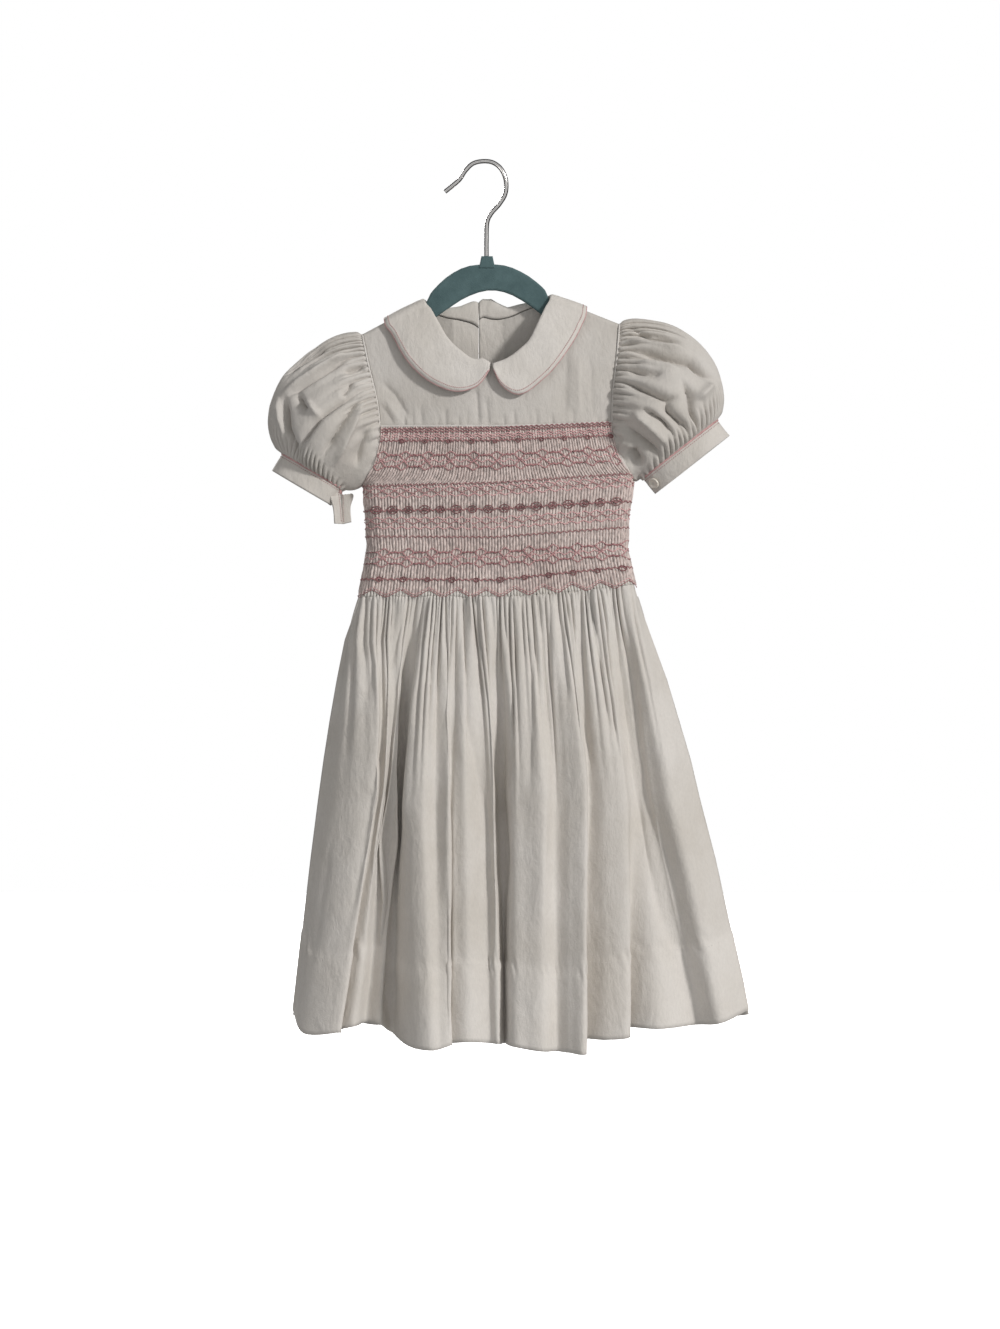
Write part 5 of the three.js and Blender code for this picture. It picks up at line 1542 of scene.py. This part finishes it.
@dataclass
class BackHalf:
    """One half of the back bodice, from the shoulder to the waist, with its edge at the back opening."""

    form: DressForm
    side: Side
    thick: float = 0.9
    underarm: float = 0.58  # share of the way down at which the armhole ends
    strip: float = 20.0  # width of the doubled cloth beside the opening
    crinkles: Crinkles = Crinkles(38, 0.6, 41)

    def build(self, finish: Wardrobe) -> Piece:
        """Makes and dresses the half."""
        form, side = self.form, self.side
        centre = form.opening_x + SEAM_GAP * side.outward
        places = form.neck_places(side)
        places[0, 0] = centre
        neck = Rail(places)
        tip = form.armhole[side][0][0]

        def shoulder(t: Array) -> Array:
            """The shoulder seam."""
            return np.stack([lerp(form.neck_x[side], tip, t), np.full(np.shape(t), SEAM_GAP)], -1)

        top = in_turn([neck.at, shoulder], [0.55, 0.45])
        start = float(top(np.array([0.0]))[0, 1])
        hem = float(form.q_at(np.array(centre), np.array(form.waist_z), 1))

        def left(v: Array) -> Array:
            """The edge of the opening."""
            return np.stack([np.full(np.shape(v), centre), lerp(start, hem, v)], -1)

        arm = form.armhole_edge(side, 1.0, 1)

        def right(v: Array) -> Array:
            """The armhole and the side seam."""
            below = np.clip((v - self.underarm) / (1 - self.underarm), 0, 1)
            z = lerp(form.armhole[side][-1][1], form.waist_z, below)
            x = column(form.body, side.value, z)
            seam = np.stack([x, form.q_at(x, z, 1)], -1)
            return np.where((v <= self.underarm)[:, None], arm(np.minimum(v / self.underarm, 1)), seam)

        corner = float(right(np.array([1.0]))[0, 0])

        def bottom(u: Array) -> Array:
            """The waist seam."""
            x = lerp(centre, corner, np.sin(u * math.pi / 2) ** 0.9)
            return np.stack([x, form.q_at(x, np.full(np.shape(x), form.waist_z), 1)], -1)

        rows = np.unique(np.r_[np.linspace(0, 1, 88) ** 1.5, self.underarm])
        grid = patch(form, top, bottom, left, right, 90, rows)
        if side is Side.RIGHT:
            grid = grid[:, ::-1]
        cloth = Sheet(grid)
        x, z = grid[..., 0], grid[..., 2]
        free = form.free(x, z)
        layers = ease((self.strip - np.abs(x - centre)) / 1.2 + 0.5)
        puckers = 0.5 * np.sin(x * 0.9 + 2 * np.sin(x * 0.2)) * ease((-320 - z) / 25)
        height = (self.crinkles.over(grid) + puckers + 0.4 * layers) * free
        piece = cloth.raised(height).mesh(f"back_{side.value}_cloth", self.thick, layers)
        dressed(piece, finish.cotton, "cotton", f"back_bodice_{side.value}")
        return piece


# Sleeves and cuffs


@dataclass(frozen=True)
class CuffRing:
    """The ring of a cuff: its middle, its half width, its depth and the line that it lies along."""

    x: float
    z: float
    half: float
    deep: float
    run: float
    rise: float

    def at(self, share: Array | float, along: float = 0.0) -> Array:
        """Points round the ring: share 0 is its outer corner, 0.25 its front and 0.5 its underarm corner."""
        turn = np.asarray(share) * 2 * math.pi
        across = -self.half * np.cos(turn)
        axis_x, axis_z = -abs(self.rise) * math.copysign(1, self.run), -abs(self.run)
        return np.stack(
            [
                self.x + across * self.run + axis_x * along,
                -self.deep * np.sin(turn),
                self.z + across * self.rise + axis_z * along,
            ],
            -1,
        )


@dataclass(frozen=True)
class SleeveForm:
    """A puffed sleeve: its cuff, and the pull of the cloth at its top, front, underarm and back."""

    side: Side
    cuff: CuffRing
    seam: Array
    out: Array
    creases: tuple


def sleeve_forms() -> dict[Side, SleeveForm]:
    """The sizes and creases of both sleeves."""
    left = SleeveForm(
        Side.LEFT,
        CuffRing(-138.4, -246, 27, 16, 0.863, -0.506),
        np.array([[-43, 0, 0], [-20, -30, -6], [-6, 0, -7], [-20, 22, -6]], float),
        np.array([[-35, 0, 44], [-9, -26, 24], [5, 0, -2], [-9, 20, 24]], float),
        (
            Crease(2.4, 1.7, ((354, 350), (320, 370), (278, 398))),
            Crease(-2.4, 2.2, ((352, 358), (320, 378), (284, 400))),
            Crease(-2.4, 2.0, ((343, 373), (367, 367))),
            Crease(-2.4, 2.0, ((342, 398), (354, 383))),
            Crease(-5.0, 2.6, ((285, 393), (288, 430), (297, 455), (302, 464))),
            Crease(-3.2, 2.0, ((298, 392), (303, 402), (312, 413))),
            Crease(2.6, 2.1, ((278, 396), (281, 420), (287, 444))),
            Crease(2.4, 2.0, ((305, 400), (314, 410), (324, 422))),
            Crease(-3.2, 2.0, ((367, 392), (345, 403), (322, 420), (303, 447), (299, 464))),
            Crease(-3.2, 2.0, ((364, 395), (350, 420), (335, 445), (320, 464))),
            Crease(2.2, 2.1, ((366, 400), (356, 424), (344, 450), (334, 470))),
            Crease(-2.8, 2.6, ((372, 425), (366, 445), (356, 470))),
            Crease(-2.4, 1.7, ((330, 350), (300, 364), (284, 378))),
        ),
    )
    right = SleeveForm(
        Side.RIGHT,
        CuffRing(156, -228.5, 37, 19, -0.787, -0.617),
        np.array([[42, 0, 13], [20, -32, -4], [4, 0, -6], [20, 22, -4]], float),
        np.array([[20, 0, 54], [4, -28, 30], [-5, 0, 0], [4, 20, 30]], float),
        (
            Crease(-2.2, 1.7, ((624, 327), (650, 338), (684, 344))),
            Crease(2.2, 2.1, ((622, 340), (652, 346), (690, 352))),
            Crease(-4.4, 2.6, ((622, 351), (650, 355), (690, 362), (705, 375), (722, 386))),
            Crease(-2.6, 2.0, ((625, 371), (645, 374), (664, 375))),
            Crease(2.2, 2.2, ((630, 364), (660, 366), (684, 373))),
            Crease(-4.4, 2.4, ((618, 381), (640, 390), (665, 400), (680, 399))),
            Crease(-3.8, 2.0, ((678, 380), (690, 395), (693, 415), (697, 434))),
            Crease(2.8, 2.6, ((694, 402), (712, 383))),
            Crease(-4.4, 3.3, ((663, 400), (668, 415), (692, 437))),
            Crease(-3.4, 2.0, ((638, 409), (660, 425), (677, 442))),
            Crease(2.4, 2.1, ((630, 412), (650, 430), (668, 448))),
            Crease(-3.4, 2.0, ((620, 426), (645, 445), (664, 460))),
            Crease(1.0, 2.0, ((618, 442), (636, 449))),
            Crease(-4.2, 3.3, ((628, 448), (642, 468))),
        ),
    )
    return {Side.LEFT: left, Side.RIGHT: right}


@dataclass
class PuffSleeve:
    """A puffed sleeve, gathered into the armhole and into its cuff."""

    form: DressForm
    sleeve: SleeveForm
    thick: float = 0.8
    cols: int = 256
    rows: int = 84
    arm_gap: float = 0.5  # from the armhole to the sleeve
    piping: Cord = Cord(0.8)
    gathers: int = 52
    puff_depth: float = 3.0
    crease_gain: float = 2.6

    def armhole_ring(self, share: Array) -> Array:
        """The seam round the armhole: the share runs from the shoulder down the front and up the back."""
        form, side = self.form, self.sleeve.side
        rail = form.armhole_rail(side)
        face = np.where(share <= 0.5, -1, 1)
        down = np.where(share <= 0.5, share * 2, 2 - share * 2)
        p = rail.at(down)
        ahead = unit(rail.at(np.clip(down + 0.02, 0, 1)) - rail.at(np.clip(down - 0.02, 0, 1)))
        away = np.stack([-ahead[..., 1], np.zeros(len(down)), ahead[..., 0]], -1) * side.outward
        seam = form.on_cloth(np.stack([p[..., 0], -face * p[..., 1]], -1))
        seam[..., 1] = np.where(down > 0.995, 0, seam[..., 1])
        return seam + away * self.arm_gap

    @staticmethod
    def round_quarters(rows: Array, share: Array) -> Array:
        """A smooth value round a ring through its four quarters."""
        turn = share * 4
        start = np.floor(turn).astype(int) % 4
        t = ease(turn - np.floor(turn))[:, None]
        return lerp(rows[start], rows[(start + 1) % 4], t)

    def relief(self, cloth: Sheet, t: Array, share: Array) -> Array:
        """Heights of the sleeve's gathers at the armhole and the cuff, its creases and its crinkles.

        Args:
            cloth: The smooth sleeve.
            t: Each column's turn round it.
            share: Each column's share round the armhole and the cuff.

        Returns:
            A height for each point.
        """
        left = self.sleeve.side is Side.LEFT
        v = np.linspace(0, 1, self.rows)[:, None]
        top = ease((np.cos(share * 2 * math.pi) + 1.1) / 0.6)[None]
        uneven = np.random.default_rng(7 if left else 8).uniform(0.5, 1.5, 30)
        strength = np.interp(share, np.linspace(0, 1, 31), np.r_[uneven, uneven[0]])[None]
        turn = 2 * math.pi * (self.gathers * t + 0.7 * np.sin(2 * math.pi * t * 3))
        lines = (np.abs(np.cos(turn / 2)) ** 0.8 - 0.6)[None] * 1.6 * strength
        cap = top * ease(v / 0.03) * (1 - ease((v - 0.04) / (0.3 * strength)))
        cuff = ease((v - 0.74) / 0.2) * (1 - ease((v - 0.95) / 0.05))
        wide = np.cos(turn * 0.5 + 0.8)[None] * top * ease(v / 0.1) * (1 - ease(v / 0.6)) * 1.3
        held = ease(v / 0.06) * (1 - ease((v - 0.93) / 0.07))
        height = self.puff_depth * lines * (cap + 1.1 * cuff) + wide
        height += self.crease_gain * creased(cloth.points, cloth.normals, self.sleeve.creases) * held
        return height + Crinkles(30, 0.7, 51 if left else 61).over(cloth.points) * held

    def build(self, finish: Wardrobe) -> list[Piece]:
        """Makes and dresses the sleeve and the piping of its armhole."""
        sleeve, side = self.sleeve, self.sleeve.side
        t = np.arange(self.cols) / self.cols
        t = 1 - t if side is Side.RIGHT else t
        share = (t - 0.09 * np.sin(2 * math.pi * t)) % 1
        start, stop = self.armhole_ring(share), sleeve.cuff.at(share, 0.2)
        leaving = start + self.round_quarters(sleeve.seam, share)
        arriving = stop + self.round_quarters(sleeve.out, share)
        v = np.linspace(0, 1, self.rows)[:, None, None]
        w = 1 - v
        points = w**3 * start + 3 * w * w * v * leaving + 3 * w * v * v * arriving + v**3 * stop
        cloth = Sheet(points, closed=True)
        height = self.relief(cloth, t, share)
        piece = cloth.raised(height).mesh(f"sleeve_{side.value}_cloth", self.thick)
        dressed(piece, finish.cotton, "cotton", f"sleeve_{side.value}")
        seam = np.linspace(0, 1, 160)
        line = self.armhole_ring(seam % 1)
        line[..., 1] += 0.9 * np.tanh(line[..., 1] / 2)
        line[..., 0] += 0.1 * side.outward
        cord = self.piping.along(f"armhole_{side.value}_piping", line, finish.seam)
        return [piece, dressed(cord, finish.seam, "cotton")]


@dataclass
class CuffBand:
    """A cuff with a piped upper edge: the right one is a buttoned ring, the left one hangs open."""

    ring: CuffRing
    side: Side
    width: float = 16.0
    thick: float = 1.5
    tail: float = 29.0
    tail_steps: int = 26
    rows: int = 14
    crinkles: Crinkles = Crinkles(16, 0.45, 71)
    piping: Cord = Cord(0.95)
    # Where each end leaves the ring, and how its width turns across, up and forward.
    ends: tuple = ((0.46, -0.62, 0.02, -0.4), (0.54, 0.72, 0.16, 0.0))

    def path(self, along: float) -> Array:
        """Points along the band at a distance from its upper edge."""
        if self.side is Side.RIGHT:
            return self.ring.at(1 - np.arange(1, 181) / 180, along)
        tails = []
        for share, over, up, ahead in self.ends:
            foot = self.ring.at(share, 0.3)
            marks = []
            for t, spread in ((0.25, 0.85 * along), (0.6, 0.62 * along), (1.0, 0.62 * along)):
                x, z = foot[0] + 2 * t + over * spread, foot[2] - self.tail * t + up * spread
                marks.append([x, lerp(foot[1], -1.0, t) + ahead * spread, z])
            tails.append(marks)
        ring = self.ring.at(lerp(self.ends[0][0], self.ends[1][0] - 1, np.linspace(0, 1, 27)), along)
        line = Rail(np.vstack([tails[0][::-1], ring, tails[1]])).at(np.linspace(0, 1, 200))
        return line[::-1]

    def build(self, finish: Wardrobe) -> list[Piece]:
        """Makes and dresses the band, its piping and its stitches."""
        rows = np.linspace(0.3, self.width, self.rows)
        cloth = Sheet(np.stack([self.path(along) for along in rows]), closed=self.side is Side.RIGHT)
        cloth = cloth.raised(self.crinkles.over(cloth.points))
        piece = cloth.mesh(f"cuff_{self.side.value}_cloth", self.thick, 0.45)
        dressed(piece, finish.cotton, "cotton", f"cuff_{self.side.value}")
        top = cloth.points[0] + cloth.normals[0] * 0.7
        if self.side is Side.RIGHT:
            top = np.vstack([top, top[:1]])
        else:
            top = top[self.tail_steps : -self.tail_steps]
        cord = self.piping.along(f"cuff_{self.side.value}_piping", top, finish.piping)
        dressed(cord, finish.piping, "cotton")
        line, out = cloth.points[2] + cloth.normals[2] * 0.85, cloth.normals[2]
        return [piece, cord, edge_stitches(f"cuff_{self.side.value}_stitches", line, out, finish.dark)]


def edge_stitches(
    name: str, line: Array, out: Array, thread: Material, step: float = 1.9, size: tuple = (0.4, 0.5, 1.5)
) -> Piece:
    """Stitches along a line of points, each turned a little across it.

    Args:
        name: Name of the piece.
        line: Points of the line, in millimetres.
        out: Directions away from the cloth.
        thread: Finish of the thread.
        step: Distance from one stitch to the next.
        size: Thickness out, thickness across and length of a stitch.

    Returns:
        The stitches as one piece.
    """
    run = run_along(line)
    marks = np.arange(step, run[-1] - step, step)
    along = unit(read_at(marks + 0.6, run, line) - read_at(marks - 0.6, run, line))
    facing = unit(read_at(marks, run, out))
    tilted = along + 0.35 * np.cross(facing, along)
    sizes = np.tile(np.array(size), (len(marks), 1))
    piece = Strands(sides=5, rings=4).lay(name, read_at(marks, run, line), tilted, facing, sizes, thread)
    return dressed(piece, thread, "cotton")


# The collar


@dataclass
class Collar:
    """One half of the rounded collar, which stands up from the neck seam and folds over."""

    form: DressForm
    side: Side
    thick: float = 1.4
    cols: int = 150
    rows: int = 30
    neck_gap: float = 0.7
    shoulder_stand: float = 1.2
    shoulder_press: float = 0.62
    crinkles: Crinkles = Crinkles(40, 0.5, 81)
    piping: Cord = Cord(0.75)
    stitch_share: float = 0.965  # of the way from the stand to the edge
    # Outer edge from the centre front over the shoulder to the back opening: x, z and face.
    edges: dict = field(
        default_factory=lambda: {
            Side.LEFT: (
                *((3.4, -166.5, -1), (-4, -177.5, -1), (-20, -183.6, -1), (-42.4, -176.4, -1)),
                *((-61.6, -158.8, -1), (-74, -137, -1), (-80.5, 0, 0), (-66, -152, 1)),
                *((-40, -166, 1), (-18, -167, 1), (-5.4, -150, 1)),
            ),
            Side.RIGHT: (
                *((7.4, -166.5, -1), (12.8, -178, -1), (25.6, -186, -1), (48, -172, -1)),
                *((66.4, -149.2, -1), (76, -132, -1), (81, 0, 0), (70, -148, 1)),
                *((44, -166, 1), (16, -168, 1), (-4.6, -150, 1)),
            ),
        }
    )
    # From the neck seam up the stand, over the fold and down the fall: shares of stand and fall, and lift.
    profile: tuple = (
        (0, 0, 0),
        (0.55, 0, 0.1),
        (1, 0, 2.2),
        (0.6, 0.04, 4.2),
        (0, 0.36, 5.4),
        (0, 0.7, 6.4),
        (0, 1, 6.2),
    )

    def seam(self) -> Rail:
        """The collar's neck seam from the centre front to the back opening."""
        form = self.form
        front = form.neck_places(None)
        middle = next(i for i, row in enumerate(form.neck_front) if row[0] > 0) + 1
        ahead = front[1 : middle + 1][::-1] if self.side is Side.LEFT else front[middle:-1]
        behind = form.neck_places(self.side)[:-1][::-1]
        places = np.vstack([ahead, [[form.neck_x[self.side], 0.0]], behind])
        places[0] += [0.9 * self.side.outward, 0.6]
        places[-1, 0] += 0.1 * self.side.outward
        return Rail(places)

    def stand_at(self, s: Array) -> Array:
        """How far the collar stands up from the seam, from -1 at the front to 1 at the back opening."""
        rows = np.array([self.shoulder_stand, *[row[2] for row in self.form.neck_back[self.side]][::-1]])
        behind = np.interp(s, np.linspace(0, 1, len(rows)), rows)
        return np.where(s < 0, lerp(self.shoulder_stand, 1.5, np.clip(-s * 4, 0, 1)), behind)

    def build(self, finish: Wardrobe) -> list[Piece]:
        """Makes and dresses the half, its edging and its stitches."""
        form = self.form
        places = [[x, float(form.q_at(x, z, face)) if face else 0.0] for x, z, face in self.edges[self.side]]
        s = np.sinh(np.linspace(-1, 1, self.cols) * 1.6) / np.sinh(1.6)

        def on(rail: Rail) -> Array:
            """Places along a rail, with s 0 at the shoulder fold."""
            crossing = rail.share_where(rail.line[:, 1], 0.0)
            return rail.at(np.where(s < 0, crossing * (1 + s), lerp(crossing, 1, s)))

        foot, rim = on(self.seam()), on(Rail(np.array(places)))
        turn = s * math.pi / 2
        inward = np.stack([-self.side.outward * np.cos(turn), -np.sin(turn)], -1)
        pressed = lerp(self.shoulder_press, 1, ease(np.abs(s) / 0.4))
        marks = Rail(np.array([[i, *row] for i, row in enumerate(self.profile)], float))
        rows = []
        for _, stand, fall, lift in marks.at(np.linspace(0, 1, self.rows)):
            top = foot + inward * (self.neck_gap + stand * self.stand_at(s))[:, None]
            rows.append(form.on_cloth(lerp(top, rim, fall), lift * pressed))
        grid = np.stack(rows)
        if self.side is Side.LEFT:
            grid = grid[:, ::-1]
        cloth = Sheet(grid)
        fall = ease((np.linspace(0, 1, self.rows) - 0.5) / 0.4)[:, None]
        cloth = cloth.raised(self.crinkles.over(grid) * fall)
        piece = cloth.mesh(f"collar_{self.side.value}_cloth", self.thick, 0.8)
        dressed(piece, finish.cotton, "cotton", f"collar_{self.side.value}")
        cord = self.piping.along(f"collar_{self.side.value}_edging", cloth.points[-1], finish.piping)
        dressed(cord, finish.piping, "cotton")
        across, down = np.linspace(0, 1, self.cols), np.full(self.cols, self.stitch_share)
        inner = cloth.at(across, down, self.thick / 2 + 0.1)
        stitches = edge_stitches(
            f"collar_{self.side.value}_stitches", inner[0], inner[1], finish.piping, 1.6, (0.45, 0.75, 1.5)
        )
        return [piece, cord, stitches]


# Buttons


@dataclass
class Button:
    """A round pearly button with a raised rim and crossed thread; its four holes are not cut."""

    name: str
    radius: float
    centre: Array
    facing: Array
    thick: float = 2.0
    rim: float = 0.5
    spokes: int = 36

    def build(self, finish: Wardrobe) -> list[Piece]:
        """Makes and dresses the button and its thread."""
        out = unit(self.facing)
        side = unit(np.cross(out, [0.0, 0.0, 1.0]))
        up = np.cross(side, out)
        r, thick, face = self.radius, self.thick, self.thick - self.rim
        # Distance from the middle and height, from the back over the rim to the sunk face.
        profile = [(r * 0.8, 0.0), (r * 0.95, thick * 0.2), (r, thick * 0.5), (r * 0.97, thick * 0.85)]
        profile += [(r * 0.9, thick), (r * 0.78, thick), (r * 0.68, thick - self.rim * 0.5), (r * 0.6, face)]
        turns = np.arange(self.spokes) * 2 * math.pi / self.spokes
        spokes = np.cos(turns)[:, None] * side + np.sin(turns)[:, None] * up
        places = [self.centre + out * h + spokes * far for far, h in profile]
        points = np.vstack([self.centre[None], *places, (self.centre + out * face)[None]]) * MM
        faces = []
        last = len(points) - 1
        inner = last - self.spokes
        for i in range(self.spokes):
            n = (i + 1) % self.spokes
            faces.append([0, 1 + i, 1 + n])
            for a in range(1, inner, self.spokes):
                faces.append([a + i, a + self.spokes + i, a + self.spokes + n, a + n])
            faces.append([inner + i, last, inner + n])
        piece = plain_mesh(f"{self.name}_pearl", points, faces)
        self.face_out(piece)
        dressed(piece, finish.pearl, "button", self.name)
        hole = r * 0.24
        along = np.array([(side + up) * 2 * hole, (up - side) * 2 * hole])
        middle = np.tile(self.centre + out * (face + 0.12), (2, 1))
        sizes = np.tile([0.4, 0.5, hole * 2.9], (2, 1))
        thread = Strands().lay(f"{self.name}_thread", middle, along, np.tile(out, (2, 1)), sizes, finish.seam)
        return [piece, dressed(thread, finish.seam, "cotton")]

    @staticmethod
    def face_out(piece: Piece) -> None:
        """Turns the faces of a closed mesh so that they point out."""
        mesh = piece.data
        volume = 0.0
        for face in mesh.polygons:
            a, *rest = (mesh.vertices[i].co for i in face.vertices)
            volume += sum(a.dot(b.cross(c)) for b, c in zip(rest, rest[1:], strict=False))
        if volume < 0:
            mesh.flip_normals()


# The hanger


@dataclass
class Hanger:
    """The flocked hanger and its chrome hook."""

    wire_radius: float = 1.8
    wire_sides: int = 20
    hook: tuple = (
        *((1.2, -74.1), (1.2, -62), (2, -46), (5, -40), (11.5, -32.5)),
        *((16.3, -24), (16.6, -13), (12.6, -4), (6.2, 0.8), (-1.5, 1.8)),
        *((-9.5, 0), (-15.4, -5.4), (-20.6, -13), (-26, -17.8), (-32, -22.6)),
    )

    def build(self, finish: Wardrobe) -> Piece:
        """Makes the hook and gives the flocked body its finish."""
        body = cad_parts["hanger_body"]
        body.data.materials.clear()
        body.data.materials.append(finish.flock)
        bends = np.array([[x, 0.0, z] for x, z in self.hook])
        line = Rail(bends).at(np.linspace(0, 1, 190))
        wire = Cord(self.wire_radius, self.wire_sides).along("hook_wire", line, finish.chrome)
        return dressed(wire, finish.chrome, "chrome", "hanger_hook")


# The studio


@dataclass
class Studio:
    """A pale floor, soft light and the camera at the photograph's angle."""

    distance: float = 3.0
    sensor: float = 24.0
    floor_z: float = -0.95

    def camera(self) -> None:
        """Looks straight at the front, so that a pixel of the photograph spans 0.8 mm."""
        data = bpy.data.cameras.new("camera")
        data.sensor_fit = "VERTICAL"
        data.sensor_height = self.sensor
        data.lens = self.sensor * self.distance / (PHOTO_SIZE[1] * PIXEL * MM)
        x, z = spot(PHOTO_SIZE[0] / 2, PHOTO_SIZE[1] / 2)
        camera = bpy.data.objects.new("camera", data)
        camera.location = (x * MM, -self.distance, z * MM)
        camera.rotation_euler = (math.pi / 2, 0, 0)
        bpy.context.scene.collection.objects.link(camera)
        bpy.context.scene.camera = camera

    def lamp(self, name: str, place: tuple, power: float, size: float, warm: tuple) -> None:
        """A square soft light that faces the dress."""
        data = bpy.data.lights.new(name, "AREA")
        data.energy = power
        data.size = size
        data.color = warm
        lamp = bpy.data.objects.new(name, data)
        lamp.location = place
        aim = Vector((0.0, 0.0, -0.38)) - Vector(place)
        lamp.rotation_euler = aim.to_track_quat("-Z", "Y").to_euler()
        bpy.context.scene.collection.objects.link(lamp)

    def build(self) -> None:
        """Sets the stage."""
        scene = bpy.context.scene
        scene.view_settings.view_transform = "Standard"
        world = bpy.data.worlds.new("white_room")
        scene.world = world
        world.use_nodes = True
        net = NodeTree(world.node_tree)
        seen = net.add("ShaderNodeLightPath").outputs
        way = net.add("ShaderNodeTexCoord").outputs["Generated"]
        back = net.set(net.add("ShaderNodeSeparateXYZ"), Vector=way).outputs["Y"]
        room = net.spread(back, From_Min=-1.0, From_Max=0.6, To_Min=0.5, To_Max=0.12)
        # What the wire reflects: a bright strip in front, between dark ones.
        strips = net.set(net.add("ShaderNodeValToRGB"), Fac=net.spread(back, From_Min=-1.0))
        ramp = strips.color_ramp.elements
        for where in (0.06, 0.14, 0.24):
            ramp.new(where)
        for mark, bright in zip(ramp, (0.2, 1.0, 0.5, 0.05, 0.04), strict=True):
            mark.color = (bright, bright, bright, 1.0)
        gloss, power = (net.add("ShaderNodeMix", data_type="FLOAT") for _ in range(2))
        net.set(gloss, Factor=seen["Is Glossy Ray"], A=room, B=strips.outputs["Color"])
        net.set(power, Factor=seen["Is Camera Ray"], A=gloss.outputs["Result"], B=1.0)
        glow = world.node_tree.nodes["Background"]
        net.set(glow, Color=(1.0, 1.0, 1.0, 1.0), Strength=power.outputs["Result"])
        self.lamp("key", (6.6, -5.8, 3.4), 620.0, 1.0, (1.0, 0.985, 0.965))
        self.lamp("fill", (-2.2, -2.5, -1.2), 13.0, 1.4, (1.0, 0.98, 0.95))
        self.lamp("behind", (-2.2, 5.0, 1.6), 260.0, 1.6, (1.0, 0.99, 0.97))
        material, net, shader, _ = new_material("pale_floor")
        net.set(shader, Base_Color=(0.9, 0.9, 0.9, 1.0), Roughness=1.0)
        net.set(shader, Emission_Color=(1.0, 1.0, 1.0, 1.0), Emission_Strength=0.85)
        corners = [[x, y, self.floor_z] for x, y in ((-6, -6), (6, -6), (6, 6), (-6, 6))]
        floor = plain_mesh("floor", np.array(corners), [[0, 1, 2, 3]])
        floor.data.materials.append(material)
        floor.visible_diffuse = False
        floor.visible_glossy = False


def cuff_button(ring: CuffRing) -> Button:
    """The button near the underarm corner of a cuff, in the middle of its width."""
    share, along = 0.42, 8.8
    ahead = ring.at(share + 0.01, along) - ring.at(share - 0.01, along)
    facing = unit(np.cross(ahead, ring.at(share, 1) - ring.at(share, 0)))
    facing = -facing if facing[1] > 0 else facing
    return Button("cuff_button", 4.6, ring.at(share, along) + facing * 1.5, facing)


def back_button(form: DressForm, number: int, z: float) -> Button:
    """A button at height z, beside the back opening."""
    out = np.array([0.0, 1.0, 0.0])
    place = form.on_body(np.array(form.opening_x + 10), np.array(z), 1)
    return Button(f"back_button_{number}", 5.2, place + out * 1.25, out)


def main() -> None:
    """Builds the dress, its hanger and the studio."""
    Studio().camera()
    finish = Wardrobe()
    form = DressForm()
    Hanger().build(finish)
    Yoke(form).build(finish)
    panel = SmockedFront(form)
    panel.build(finish)
    Embroidery(panel).build(finish)
    for side in Side:
        BackHalf(form, side).build(finish)
    SkirtFront(form, panel).build(finish)
    SkirtBack(form).build(finish)
    for side, sleeve in sleeve_forms().items():
        PuffSleeve(form, sleeve).build(finish)
        CuffBand(sleeve.cuff, side).build(finish)
        Collar(form, side).build(finish)
    cuff_button(sleeve_forms()[Side.RIGHT].cuff).build(finish)
    for number, z in enumerate((-135.0, -200.0, -268.0), 1):
        back_button(form, number, z).build(finish)
    Studio().build()


if __name__ == "__main__":
    main()
